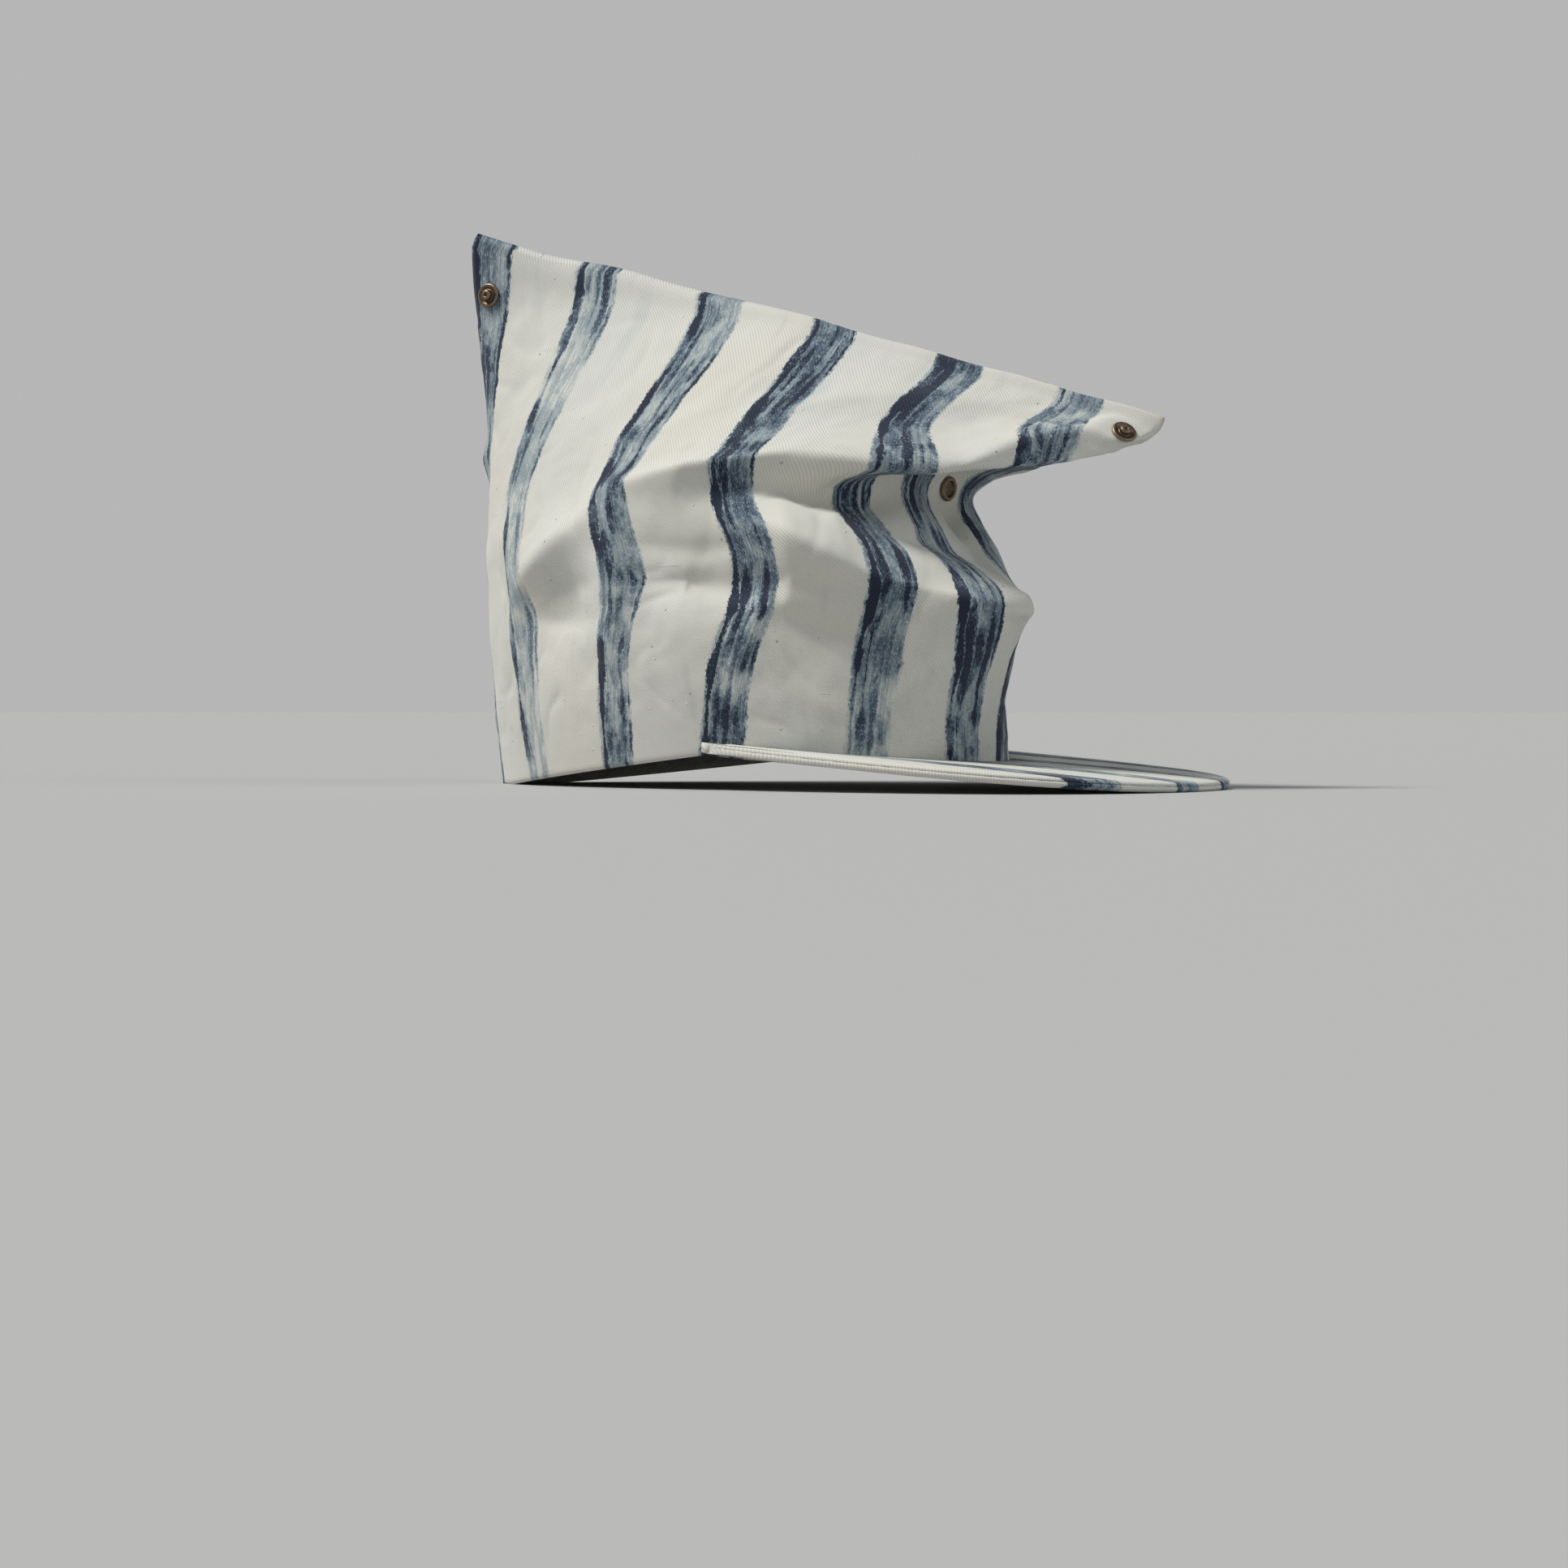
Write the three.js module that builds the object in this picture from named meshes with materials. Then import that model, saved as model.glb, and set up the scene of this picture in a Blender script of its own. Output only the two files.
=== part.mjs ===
// A tall denim cap: a cloth tube folded flat along its top, collapsed at the front,
// with a stiff brim and four snap parts. Millimetres, X forward, Y to the wearer's left, Z up.
// The cap rests on the floor on its rear hem and the front edge of its brim.
import * as THREE from 'three';

// Cloth tube. Every ring of the tube is measured along its own cloth: w runs from the centre back,
// along the right side to the centre front at HALF_ROUND, and back along the left side.
const HALF_ROUND = 300;
const ROUND = 2 * HALF_ROUND;
const WALL = 1.6;
const TUBE_HEIGHT = 216;
const TUBE_COLUMNS = 33;
const TUBE_ROWS = [0, 8, 17, 26, 35, 44, 53, 62, 70, 77, 84, 91, 98, 105, 111, 117, 123, 129, 135, 141,
  147, 154, 162, 171, 180, 189, 197, 204, 210, 214, TUBE_HEIGHT];
const INNER_TOP_GAP = 5;
const CLOSED_GAP = 2 * WALL + 1.6;
const OPEN_STEPS = 150;
const RING_SAMPLES = 160;
const NORMAL_STEP = 2;

// One row for each ring of the tube, in the frame of the rim: its height along the cloth, its centre back,
// its widest place, its half width, its centre front, and how full its rear and front halves are
// (2 is an ellipse, less is pinched, more is square).
const RING_COLUMNS = ['height', 'backX', 'backY', 'backZ', 'sideX', 'sideZ', 'half',
  'frontX', 'frontY', 'frontZ', 'rearFullness', 'frontFullness'];
const RING_ROWS = [
  [0, -113, 0, 2, 20, 0, 75, 109, 0, -19, 1.45, 2.0],
  [33, -115, -2, 35, 14, 30, 76, 112, -6, 4, 1.5, 1.8],
  [66, -116, -3, 69, 12, 58, 75, 124, -14, 38, 1.6, 1.5],
  [79, -116, -4, 82, 12, 68, 74, 130, -16, 48, 1.6, 1.3],
  [97, -116, -5, 100, 12, 84, 73, 113, -8, 72, 1.65, 1.7],
  [117, -115, -6, 120, 12, 100, 69, 94, 2, 93, 1.65, 2.2],
  [144, -115, -9, 147, 10, 119, 61, 116, 10, 101, 1.55, 2.4],
  [169, -116, -13, 172, 14, 136, 46, 140, 16, 101, 1.45, 2.0],
  [191, -117, -16, 195, 22, 155, 28, 157, 22, 102, 1.35, 1.7],
  [206, -118, -18, 213, 28, 168, 12, 166, 25, 106, 1.25, 1.5],
  [213, -118, -19, 226, 28, 173, 6, 168, 26, 111, 1.2, 1.4],
  [TUBE_HEIGHT, -115, -19, 231, 26, 174, 0, 166, 26, 112, 1.2, 1.3],
];

// One row for each fold or hollow of the cloth: where its line starts and ends (w along the ring,
// height along the tube), how far the line bows up at its middle, how far it rises out of the cloth
// (a hollow is negative), and how far it reaches above and below its line.
const FOLD_COLUMNS = ['fromW', 'fromHeight', 'toW', 'toHeight', 'bow', 'rise', 'reachUp', 'reachDown'];
const FOLD_ROWS = [
  [108, 110, 242, 142, 3, 10, 17, 17],
  [150, 162, 262, 200, 4, 3, 14, 10],
  [160, 121, 262, 113, 2, -8, 10, 9],
  [178, 110, 256, 74, -2, 7, 7, 14],
  [236, 132, 298, 206, 5, 7, 12, 5],
  [242, 112, 318, 160, 0, -7, 9, 9],
  [228, 102, 322, 96, 0, -8, 12, 9],
  [304, 72, 304, 146, 0, -9, 22, 20],
  [232, 82, 322, 72, -3, 6, 5, 10],
  [58, 66, 120, 62, 0, -7, 20, 14],
  [130, 80, 204, 77, 0, -12, 22, 13],
  [195, 66, 250, 48, 0, -7, 16, 16],
  [245, 34, 292, 66, 0, 5, 9, 9],
  [54, 76, 134, 113, 0, 6, 13, 9],
  [330, 150, 440, 118, 4, 5, 14, 10],
  [340, 118, 430, 96, 0, -6, 11, 12],
  [345, 92, 470, 104, 4, 5, 10, 14],
  [380, 60, 470, 72, 0, -5, 18, 18],
  [470, 70, 560, 96, 0, -4, 20, 20],
];
const FOLD_CREST = 3;
const FOLD_SHARPNESS = 0.8;

// The folds die out towards the top and the hem, from the first distance to the second.
const FADE_END = 2;
const TOP_FADE = 26;
const HEM_FADE = 30;

// The front flap hangs over the dent: the height of its lip round the ring and how much of the overhang
// the lip takes there. The overhang reaches these distances above and below the lip.
const FLAP_COLUMNS = ['w', 'lipHeight', 'share'];
const FLAP_ROWS = [
  [200, 134, 0],
  [222, 136, 0.55],
  [240, 139, 0.95],
  [262, 146, 1],
  [278, 157, 0.85],
  [290, 174, 0.45],
  [299, 190, 0],
];
const FLAP_SHIFT = new THREE.Vector3(18, 0, -8);
const FLAP_REACH_UP = 44;
const FLAP_REACH_DOWN = 17;

// Brim
const BRIM_THICKNESS = 4;
const BRIM_SLOPE = 0.212;
const BRIM_GAP = 0.35;
const TEMPLE_X = 25;
const TEMPLE_W = 164;
const BRIM_WIDEST_X = 104;
const BRIM_HALF_WIDTH = 92;
const BRIM_FRONT_X = 196;
const BRIM_TEMPLE_Y = 78;
const BRIM_FRONT_FULLNESS = 2.3;
const BRIM_SIDE_FULLNESS = 2.5;
const BRIM_SIDE_SHARE = 0.42;
const BRIM_COLUMNS = 44;
const BRIM_EDGE_ROUND = 1.2;
const BRIM_EDGE_TUCK = 0.2;

// Snap parts, each a turned profile of radius and height above the cloth. A fold of the cloth lies this far
// along the ring from the studs.
const SNAP_SEGMENTS = 20;
const STUD_PROFILE = [[0, 0], [5, 0], [5, 0.9], [4.4, 1.4], [3, 1.4], [2.7, 0.9], [2.1, 0.9], [2, 2.4],
  [1.3, 2.8], [0, 2.8]];
const SOCKET_PROFILE = [[0, 0], [5, 0], [5, 1.1], [4.4, 1.7], [2.6, 1.7], [2.3, 0.7], [0, 0.7]];
const SNAPS = [
  { name: 'front_stud', profile: STUD_PROFILE, w: 287, height: 196, seat: 0.4, fold: 13 },
  { name: 'front_socket', profile: SOCKET_PROFILE, w: 306, height: 118, seat: 1.1 },
  { name: 'back_stud', profile: STUD_PROFILE, w: 8, height: 202, seat: 0.4, fold: -8 },
  { name: 'back_socket', profile: SOCKET_PROFILE, w: 0, height: 136, seat: 0.4 },
];

// Round each snap part the cloth is flat out to the first distance and free again at the second. It bends
// freely at a fold and is flat from the last distance on.
const SNAP_FLAT = 6.5;
const SNAP_FREE = 14;
const SNAP_NORMAL_STEP = 5;
const SNAP_FOLD_FREE = 5;

// Resting on the floor: heights shear forwards until the rear hem and the brim's front edge both touch,
// and the cloth flattens there by these amounts.
const HEM_FLAT = 2;
const BRIM_FLAT = 0.5;

function rowsToTable(columns, rows) {
  return rows.map((row) => Object.fromEntries(columns.map((name, index) => [name, row[index]])));
}

const RINGS = rowsToTable(RING_COLUMNS, RING_ROWS);
const FOLDS = rowsToTable(FOLD_COLUMNS, FOLD_ROWS);
const FLAP = rowsToTable(FLAP_COLUMNS, FLAP_ROWS);

// A place round the ring, brought between 0 and ROUND.
function onRing(w) {
  return THREE.MathUtils.euclideanModulo(w, ROUND);
}

// Slope of a column at a row, which keeps the curve between rows free of overshoot.
function slopeAt(name, index) {
  if (index === 0 || index === RINGS.length - 1) {
    const other = index === 0 ? 1 : index - 1;
    return (RINGS[other][name] - RINGS[index][name]) / (RINGS[other].height - RINGS[index].height);
  }
  const [below, here, above] = [RINGS[index - 1], RINGS[index], RINGS[index + 1]];
  const slopeBelow = (here[name] - below[name]) / (here.height - below.height);
  const slopeAbove = (above[name] - here[name]) / (above.height - here.height);
  return slopeBelow * slopeAbove <= 0 ? 0 : (2 * slopeBelow * slopeAbove) / (slopeBelow + slopeAbove);
}

function ringColumn(name, height) {
  let index = 0;
  while (index < RINGS.length - 2 && height > RINGS[index + 1].height) index += 1;
  const [low, high] = [RINGS[index], RINGS[index + 1]];
  const span = high.height - low.height;
  const t = THREE.MathUtils.clamp((height - low.height) / span, 0, 1);
  const startSlope = slopeAt(name, index) * span;
  const endSlope = slopeAt(name, index + 1) * span;
  const rise = high[name] - low[name];
  return low[name] + startSlope * t + (3 * rise - 2 * startSlope - endSlope) * t ** 2
    + (startSlope + endSlope - 2 * rise) * t ** 3;
}

// Points along one side of a ring, from the centre back to the centre front, with their distance along it.
function ringSide(height, sideSign) {
  const g = Object.fromEntries(RING_COLUMNS.map((name) => [name, ringColumn(name, height)]));
  const points = [];
  for (let half = 0; half < 2; half += 1) {
    const [endX, endZ, power] = half === 0
      ? [g.backX, g.backZ, 2 / g.rearFullness]
      : [g.frontX, g.frontZ, 2 / g.frontFullness];
    for (let i = half; i <= RING_SAMPLES; i += 1) {
      const angle = (Math.PI / 2) * (half === 0 ? i : RING_SAMPLES - i) / RING_SAMPLES;
      const along = Math.max(Math.cos(angle), 0) ** power;
      const x = g.sideX + (endX - g.sideX) * along;
      const middleY = g.backY + (g.frontY - g.backY) * (x - g.backX) / (g.frontX - g.backX);
      const y = middleY + sideSign * g.half * Math.max(Math.sin(angle), 0) ** power;
      points.push(new THREE.Vector3(x, y, g.sideZ + (endZ - g.sideZ) * along));
    }
  }
  const distances = [0];
  for (let i = 1; i < points.length; i += 1) {
    distances.push(distances[i - 1] + points[i].distanceTo(points[i - 1]));
  }
  return { points, distances };
}

const ringCache = new Map();

function ringAt(height) {
  const key = height.toFixed(4);
  if (!ringCache.has(key)) {
    ringCache.set(key, { right: ringSide(height, -1), left: ringSide(height, 1) });
  }
  return ringCache.get(key);
}

// A point of the smooth tube, before its folds.
function tubePoint(w, height) {
  const place = onRing(w);
  const ring = ringAt(THREE.MathUtils.clamp(height, 0, TUBE_HEIGHT));
  const side = place <= HALF_ROUND ? ring.right : ring.left;
  const share = (place <= HALF_ROUND ? place : ROUND - place) / HALF_ROUND;
  const target = share * side.distances.at(-1);
  let low = 0;
  let high = side.distances.length - 1;
  while (high - low > 1) {
    const middle = (low + high) >> 1;
    if (side.distances[middle] <= target) low = middle;
    else high = middle;
  }
  const t = (target - side.distances[low]) / (side.distances[high] - side.distances[low]);
  return side.points[low].clone().lerp(side.points[high], t);
}

function surfaceNormal(pointAt, w, height, step = NORMAL_STEP) {
  const alongRing = pointAt(w + step, height).sub(pointAt(w - step, height));
  const up = pointAt(w, Math.min(height + step, TUBE_HEIGHT)).sub(pointAt(w, Math.max(height - step, 0)));
  return alongRing.cross(up).normalize();
}

// How far the folds lift the cloth at a place.
function foldRise(w, height) {
  let rise = 0;
  for (const fold of FOLDS) {
    const lineW = fold.toW - fold.fromW;
    const lineHeight = fold.toHeight - fold.fromHeight;
    const length = Math.hypot(lineW, lineHeight);
    const t = ((w - fold.fromW) * lineW + (height - fold.fromHeight) * lineHeight) / length ** 2;
    if (t <= 0 || t >= 1) continue;
    const across = ((height - fold.fromHeight) * lineW - (w - fold.fromW) * lineHeight) / length
      - fold.bow * 4 * t * (1 - t);
    const reach = across > 0 ? fold.reachUp : fold.reachDown;
    const crest = Math.exp((FOLD_CREST - Math.hypot(across, FOLD_CREST)) / reach);
    rise += fold.rise * Math.sin(Math.PI * t) ** FOLD_SHARPNESS * crest;
  }
  const topFade = THREE.MathUtils.smoothstep(TUBE_HEIGHT - height, FADE_END, TOP_FADE);
  const hemFade = THREE.MathUtils.smoothstep(height, FADE_END, HEM_FADE);
  return rise * topFade * hemFade;
}

// How much of the front flap's overhang the cloth takes at a place.
function flapShare(w, height) {
  if (w <= FLAP[0].w || w >= FLAP.at(-1).w) return 0;
  const next = FLAP.findIndex((row) => row.w > w);
  const [from, to] = [FLAP[next - 1], FLAP[next]];
  const t = (w - from.w) / (to.w - from.w);
  const above = height - THREE.MathUtils.lerp(from.lipHeight, to.lipHeight, t);
  const fade = above > 0
    ? THREE.MathUtils.smoothstep(above, 0, FLAP_REACH_UP)
    : THREE.MathUtils.smoothstep(-above, 0, FLAP_REACH_DOWN);
  return (1 - fade) * THREE.MathUtils.lerp(from.share, to.share, t);
}

function foldedPoint(w, height) {
  const place = onRing(w);
  return tubePoint(place, height)
    .addScaledVector(surfaceNormal(tubePoint, place, height), foldRise(place, height))
    .addScaledVector(FLAP_SHIFT, flapShare(place, height));
}

const SNAP_SEATS = SNAPS.map(({ w, height, fold }) => ({
  w,
  height,
  fold,
  centre: foldedPoint(w, height),
  normal: surfaceNormal(foldedPoint, w, height, SNAP_NORMAL_STEP),
}));

// A point of the cloth's outer face, with its folds and the flats under the snap parts.
function clothPoint(w, height) {
  const point = foldedPoint(w, height);
  for (const seat of SNAP_SEATS) {
    const offW = onRing(w - seat.w + HALF_ROUND) - HALF_ROUND;
    const distance = Math.hypot(offW, height - seat.height);
    const hold = 1 - THREE.MathUtils.smoothstep(distance, SNAP_FLAT, SNAP_FREE);
    const fromFold = seat.fold ? Math.sign(seat.fold) * (seat.fold - offW) : SNAP_FOLD_FREE;
    const share = hold * THREE.MathUtils.smoothstep(fromFold, 0, SNAP_FOLD_FREE);
    const above = point.clone().sub(seat.centre).dot(seat.normal);
    point.addScaledVector(seat.normal, -above * share);
  }
  return point;
}

// The same place on the inner face of the cloth.
function liningPoint(w, height) {
  return clothPoint(w, height).addScaledVector(surfaceNormal(clothPoint, w, height), -WALL);
}

// The stretch of a ring, as a share of its side, where the two sides stand far enough apart to be hollow.
function openStretch(height) {
  const open = [];
  for (let i = 0; i <= OPEN_STEPS; i += 1) {
    const w = (HALF_ROUND * i) / OPEN_STEPS;
    const gap = clothPoint(w, height).distanceTo(clothPoint(ROUND - w, height));
    if (gap > CLOSED_GAP) open.push(w);
  }
  return [open[0], open.at(-1)];
}

// The brim board's mid plane falls forwards from the temples.
function brimHeight(x) {
  return -BRIM_SLOPE * (x - TEMPLE_X);
}

const REAR_X = RINGS[0].backX;
const SETTLE_SLOPE = (RINGS[0].backZ + HEM_FLAT - BRIM_FLAT - brimHeight(BRIM_FRONT_X))
  / (BRIM_FRONT_X - REAR_X);

// From the frame of the rim to the frame of the floor. The hem flattens where it rests.
function settle(point) {
  const lifted = point.z + SETTLE_SLOPE * (point.x - REAR_X) - RINGS[0].backZ - HEM_FLAT;
  const z = Math.max(lifted, 0);
  return new THREE.Vector3(point.x, point.y, z);
}

function geometryFrom(points, triangles) {
  const geometry = new THREE.BufferGeometry();
  geometry.setAttribute('position', new THREE.Float32BufferAttribute(points.flatMap((p) => p.toArray()), 3));
  geometry.setIndex(triangles.flat());
  geometry.computeVertexNormals();
  return geometry;
}

function crownGeometry() {
  const points = [];
  const triangles = [];
  const add = (point) => points.push(settle(point)) - 1;
  const quad = (a, b, c, d) => triangles.push([a, b, c], [a, c, d]);
  const outer = [];
  const inner = [];
  for (const height of TUBE_ROWS) {
    const ring = [];
    for (let column = 0; column < 2 * TUBE_COLUMNS; column += 1) {
      const atTop = height === TUBE_HEIGHT && column > TUBE_COLUMNS;
      const mirrored = 2 * TUBE_COLUMNS - column;
      ring.push(atTop ? ring[mirrored] : add(clothPoint((HALF_ROUND * column) / TUBE_COLUMNS, height)));
    }
    outer.push(ring);
    const innerHeight = (height * (TUBE_HEIGHT - INNER_TOP_GAP)) / TUBE_HEIGHT;
    const [start, end] = openStretch(innerHeight);
    const lining = [];
    for (let column = 0; column < 2 * TUBE_COLUMNS + 2; column += 1) {
      const onRight = column <= TUBE_COLUMNS;
      const share = (onRight ? column : 2 * TUBE_COLUMNS + 1 - column) / TUBE_COLUMNS;
      const w = start + (end - start) * share;
      lining.push(add(liningPoint(onRight ? w : ROUND - w, innerHeight)));
    }
    inner.push(lining);
  }
  const lastRow = TUBE_ROWS.length - 1;
  const outerCount = 2 * TUBE_COLUMNS;
  const innerCount = outerCount + 2;
  for (let row = 0; row < lastRow; row += 1) {
    for (let column = 0; column < outerCount; column += 1) {
      const next = (column + 1) % outerCount;
      quad(outer[row][column], outer[row][next], outer[row + 1][next], outer[row + 1][column]);
    }
    for (let column = 0; column < innerCount; column += 1) {
      const next = (column + 1) % innerCount;
      quad(inner[row][next], inner[row][column], inner[row + 1][column], inner[row + 1][next]);
    }
  }
  // The inner faces meet in a narrow roof under the top fold.
  for (let column = 0; column < TUBE_COLUMNS; column += 1) {
    const mirrored = innerCount - 1 - column;
    quad(inner[lastRow][column + 1], inner[lastRow][column], inner[lastRow][mirrored],
      inner[lastRow][mirrored - 1]);
  }
  // The hem joins the outer and inner faces.
  for (let column = 0; column < TUBE_COLUMNS; column += 1) {
    quad(outer[0][column + 1], outer[0][column], inner[0][column], inner[0][column + 1]);
    const left = TUBE_COLUMNS + column;
    quad(outer[0][(left + 1) % outerCount], outer[0][left], inner[0][left + 1], inner[0][left + 2]);
  }
  triangles.push([outer[0][TUBE_COLUMNS], inner[0][TUBE_COLUMNS], inner[0][TUBE_COLUMNS + 1]]);
  triangles.push([outer[0][0], inner[0][innerCount - 1], inner[0][0]]);
  const solid = triangles.filter(([a, b, c]) => a !== b && b !== c && a !== c);
  return geometryFrom(points, solid);
}

// The brim's outer edge, from the right temple at share 0 to the centre front at share 1.
function brimEdge(share) {
  if (share < BRIM_SIDE_SHARE) {
    const back = 1 - share / BRIM_SIDE_SHARE;
    const x = BRIM_WIDEST_X - (BRIM_WIDEST_X - TEMPLE_X) * back;
    return [x, BRIM_HALF_WIDTH - (BRIM_HALF_WIDTH - BRIM_TEMPLE_Y) * back ** BRIM_SIDE_FULLNESS];
  }
  const angle = (Math.PI / 2) * (1 - share) / (1 - BRIM_SIDE_SHARE);
  const power = 2 / BRIM_FRONT_FULLNESS;
  return [BRIM_WIDEST_X + (BRIM_FRONT_X - BRIM_WIDEST_X) * Math.max(Math.cos(angle), 0) ** power,
    BRIM_HALF_WIDTH * Math.max(Math.sin(angle), 0) ** power];
}

function brimGeometry() {
  const points = [];
  const triangles = [];
  const sections = [];
  const hemHeight = BRIM_THICKNESS + 1;
  for (let column = 0; column <= BRIM_COLUMNS; column += 1) {
    const onRight = column <= BRIM_COLUMNS / 2;
    const share = 1 - Math.abs(column - BRIM_COLUMNS / 2) / (BRIM_COLUMNS / 2);
    const sign = onRight ? -1 : 1;
    const w = TEMPLE_W + (HALF_ROUND - TEMPLE_W) * share;
    const place = onRight ? w : ROUND - w;
    const hemNormal = surfaceNormal(tubePoint, place, hemHeight).setZ(0).normalize();
    const inner = tubePoint(place, hemHeight);
    const lean = tubePoint(place, 0).sub(inner).dot(hemNormal);
    inner.addScaledVector(hemNormal, BRIM_GAP + Math.max(lean, 0));
    const [edgeX, edgeY] = brimEdge(share);
    const outward = new THREE.Vector2(edgeX - inner.x, sign * edgeY - inner.y);
    const width = outward.length();
    outward.normalize();
    const round = Math.min(BRIM_EDGE_ROUND, width / 3);
    const profile = [[0, 0], [0, BRIM_THICKNESS], [width - round, BRIM_THICKNESS],
      [width - BRIM_EDGE_TUCK * round, BRIM_THICKNESS - round], [width, BRIM_THICKNESS / 2],
      [width - BRIM_EDGE_TUCK * round, round], [width - round, 0]];
    sections.push(profile.map(([reach, lift]) => {
      const x = inner.x + outward.x * reach;
      const y = inner.y + outward.y * reach;
      return points.push(settle(new THREE.Vector3(x, y, brimHeight(x) + lift))) - 1;
    }));
  }
  const count = sections[0].length;
  for (let column = 0; column < BRIM_COLUMNS; column += 1) {
    for (let i = 0; i < count; i += 1) {
      const next = (i + 1) % count;
      const [a, b] = [sections[column][i], sections[column][next]];
      const [c, d] = [sections[column + 1][next], sections[column + 1][i]];
      triangles.push([a, b, c], [a, c, d]);
    }
  }
  for (let i = 1; i < count - 1; i += 1) {
    triangles.push([sections[0][0], sections[0][i + 1], sections[0][i]]);
    const last = sections[BRIM_COLUMNS];
    triangles.push([last[0], last[i], last[i + 1]]);
  }
  return geometryFrom(points, triangles);
}

const cap = new THREE.Group();

function addPart(name, geometry, look) {
  const mesh = new THREE.Mesh(geometry, new THREE.MeshStandardMaterial(look));
  mesh.name = name;
  cap.add(mesh);
  return mesh;
}

addPart('crown', crownGeometry(), { color: 0xd9d8cf, roughness: 0.95, metalness: 0 });
addPart('brim', brimGeometry(), { color: 0xd9d8cf, roughness: 0.95, metalness: 0 });

for (const snap of SNAPS) {
  const profile = snap.profile.map(([radius, height]) => new THREE.Vector2(radius, height));
  const part = addPart(snap.name, new THREE.LatheGeometry(profile, SNAP_SEGMENTS),
    { color: 0x6e5a3c, roughness: 0.4, metalness: 1 });
  const floorPoint = (w, height) => settle(clothPoint(w, height));
  const normal = surfaceNormal(floorPoint, snap.w, snap.height);
  part.position.copy(floorPoint(snap.w, snap.height)).addScaledVector(normal, snap.seat);
  part.quaternion.setFromUnitVectors(new THREE.Vector3(0, 1, 0), normal);
}

// The origin lies on the floor under the middle of the cap's bounds.
const middle = new THREE.Box3().setFromObject(cap, true).getCenter(new THREE.Vector3()).setZ(0);
for (const part of cap.children) part.position.sub(middle);

export default cap;
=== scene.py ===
"""A tall denim cap: a striped cloth tube folded flat along its top and dented at the front, a stiff
cloth-covered brim and four snap parts. It stands on its rear hem and the front edge of its brim.
"""

import math

import bmesh
import bpy
import numpy as np
from bpy.props import FloatProperty, FloatVectorProperty, IntProperty, PointerProperty
from mathutils import Matrix, Vector, noise


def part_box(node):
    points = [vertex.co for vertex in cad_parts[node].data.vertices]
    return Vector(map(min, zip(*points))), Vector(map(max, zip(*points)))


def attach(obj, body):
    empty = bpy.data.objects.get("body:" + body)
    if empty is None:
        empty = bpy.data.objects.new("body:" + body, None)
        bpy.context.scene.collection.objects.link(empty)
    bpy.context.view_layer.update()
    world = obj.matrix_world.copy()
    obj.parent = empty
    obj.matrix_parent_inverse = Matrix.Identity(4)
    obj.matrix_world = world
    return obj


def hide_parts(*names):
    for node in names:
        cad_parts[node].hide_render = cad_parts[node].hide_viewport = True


bl_info = {
    "name": "Denim Cap",
    "version": (1, 0, 0),
    "blender": (4, 5, 0),
    "location": "View3D > Sidebar > Cap",
    "description": "Dresses the packed frame of a tall denim cap",
    "category": "Object",
}

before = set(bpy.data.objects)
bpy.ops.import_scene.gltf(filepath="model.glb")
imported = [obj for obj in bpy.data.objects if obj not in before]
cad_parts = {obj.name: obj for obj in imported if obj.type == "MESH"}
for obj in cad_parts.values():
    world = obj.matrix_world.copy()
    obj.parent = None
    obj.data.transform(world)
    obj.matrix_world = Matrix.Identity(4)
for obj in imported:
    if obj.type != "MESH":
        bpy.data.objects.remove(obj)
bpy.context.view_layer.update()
IMAGE_PIXELS = 1932
MM = 0.001

# Cloth tube. Every ring of the tube is measured along its own cloth: w runs from the centre back, along
# the right side to the centre front at HALF_ROUND, and back along the left side. Millimetres.
HALF_ROUND = 300
ROUND = 2 * HALF_ROUND
TUBE_HEIGHT = 216
INNER_TOP_GAP = 5
NORMAL_STEP = 2

# One row for each ring of the tube: its height along the cloth, its centre back, its widest place, its
# half width, its centre front, and how full its rear and front halves are (2 is an ellipse).
RING_COLUMNS = ("height", "back_x", "back_y", "back_z", "side_x", "side_z", "half",
                "front_x", "front_y", "front_z", "rear_fullness", "front_fullness")
RING_ROWS = (
    (0, -113, 0, 2, 20, 0, 75, 109, 0, -19, 1.45, 2.0),
    (33, -115, -2, 35, 14, 30, 76, 112, -6, 4, 1.5, 1.8),
    (66, -116, -3, 69, 12, 58, 75, 124, -14, 38, 1.6, 1.5),
    (79, -116, -4, 82, 12, 68, 74, 130, -16, 48, 1.6, 1.3),
    (97, -116, -5, 100, 12, 84, 73, 113, -8, 72, 1.65, 1.7),
    (117, -115, -6, 120, 12, 100, 69, 94, 2, 93, 1.65, 2.2),
    (144, -115, -9, 147, 10, 119, 61, 116, 10, 101, 1.55, 2.4),
    (169, -116, -13, 172, 14, 136, 46, 140, 16, 101, 1.45, 2.0),
    (191, -117, -16, 195, 22, 155, 28, 157, 22, 102, 1.35, 1.7),
    (206, -118, -18, 213, 28, 168, 12, 166, 25, 106, 1.25, 1.5),
    (213, -118, -19, 226, 28, 173, 6, 168, 26, 111, 1.2, 1.4),
    (TUBE_HEIGHT, -115, -19, 231, 26, 174, 0, 166, 26, 112, 1.2, 1.3),
)

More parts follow.
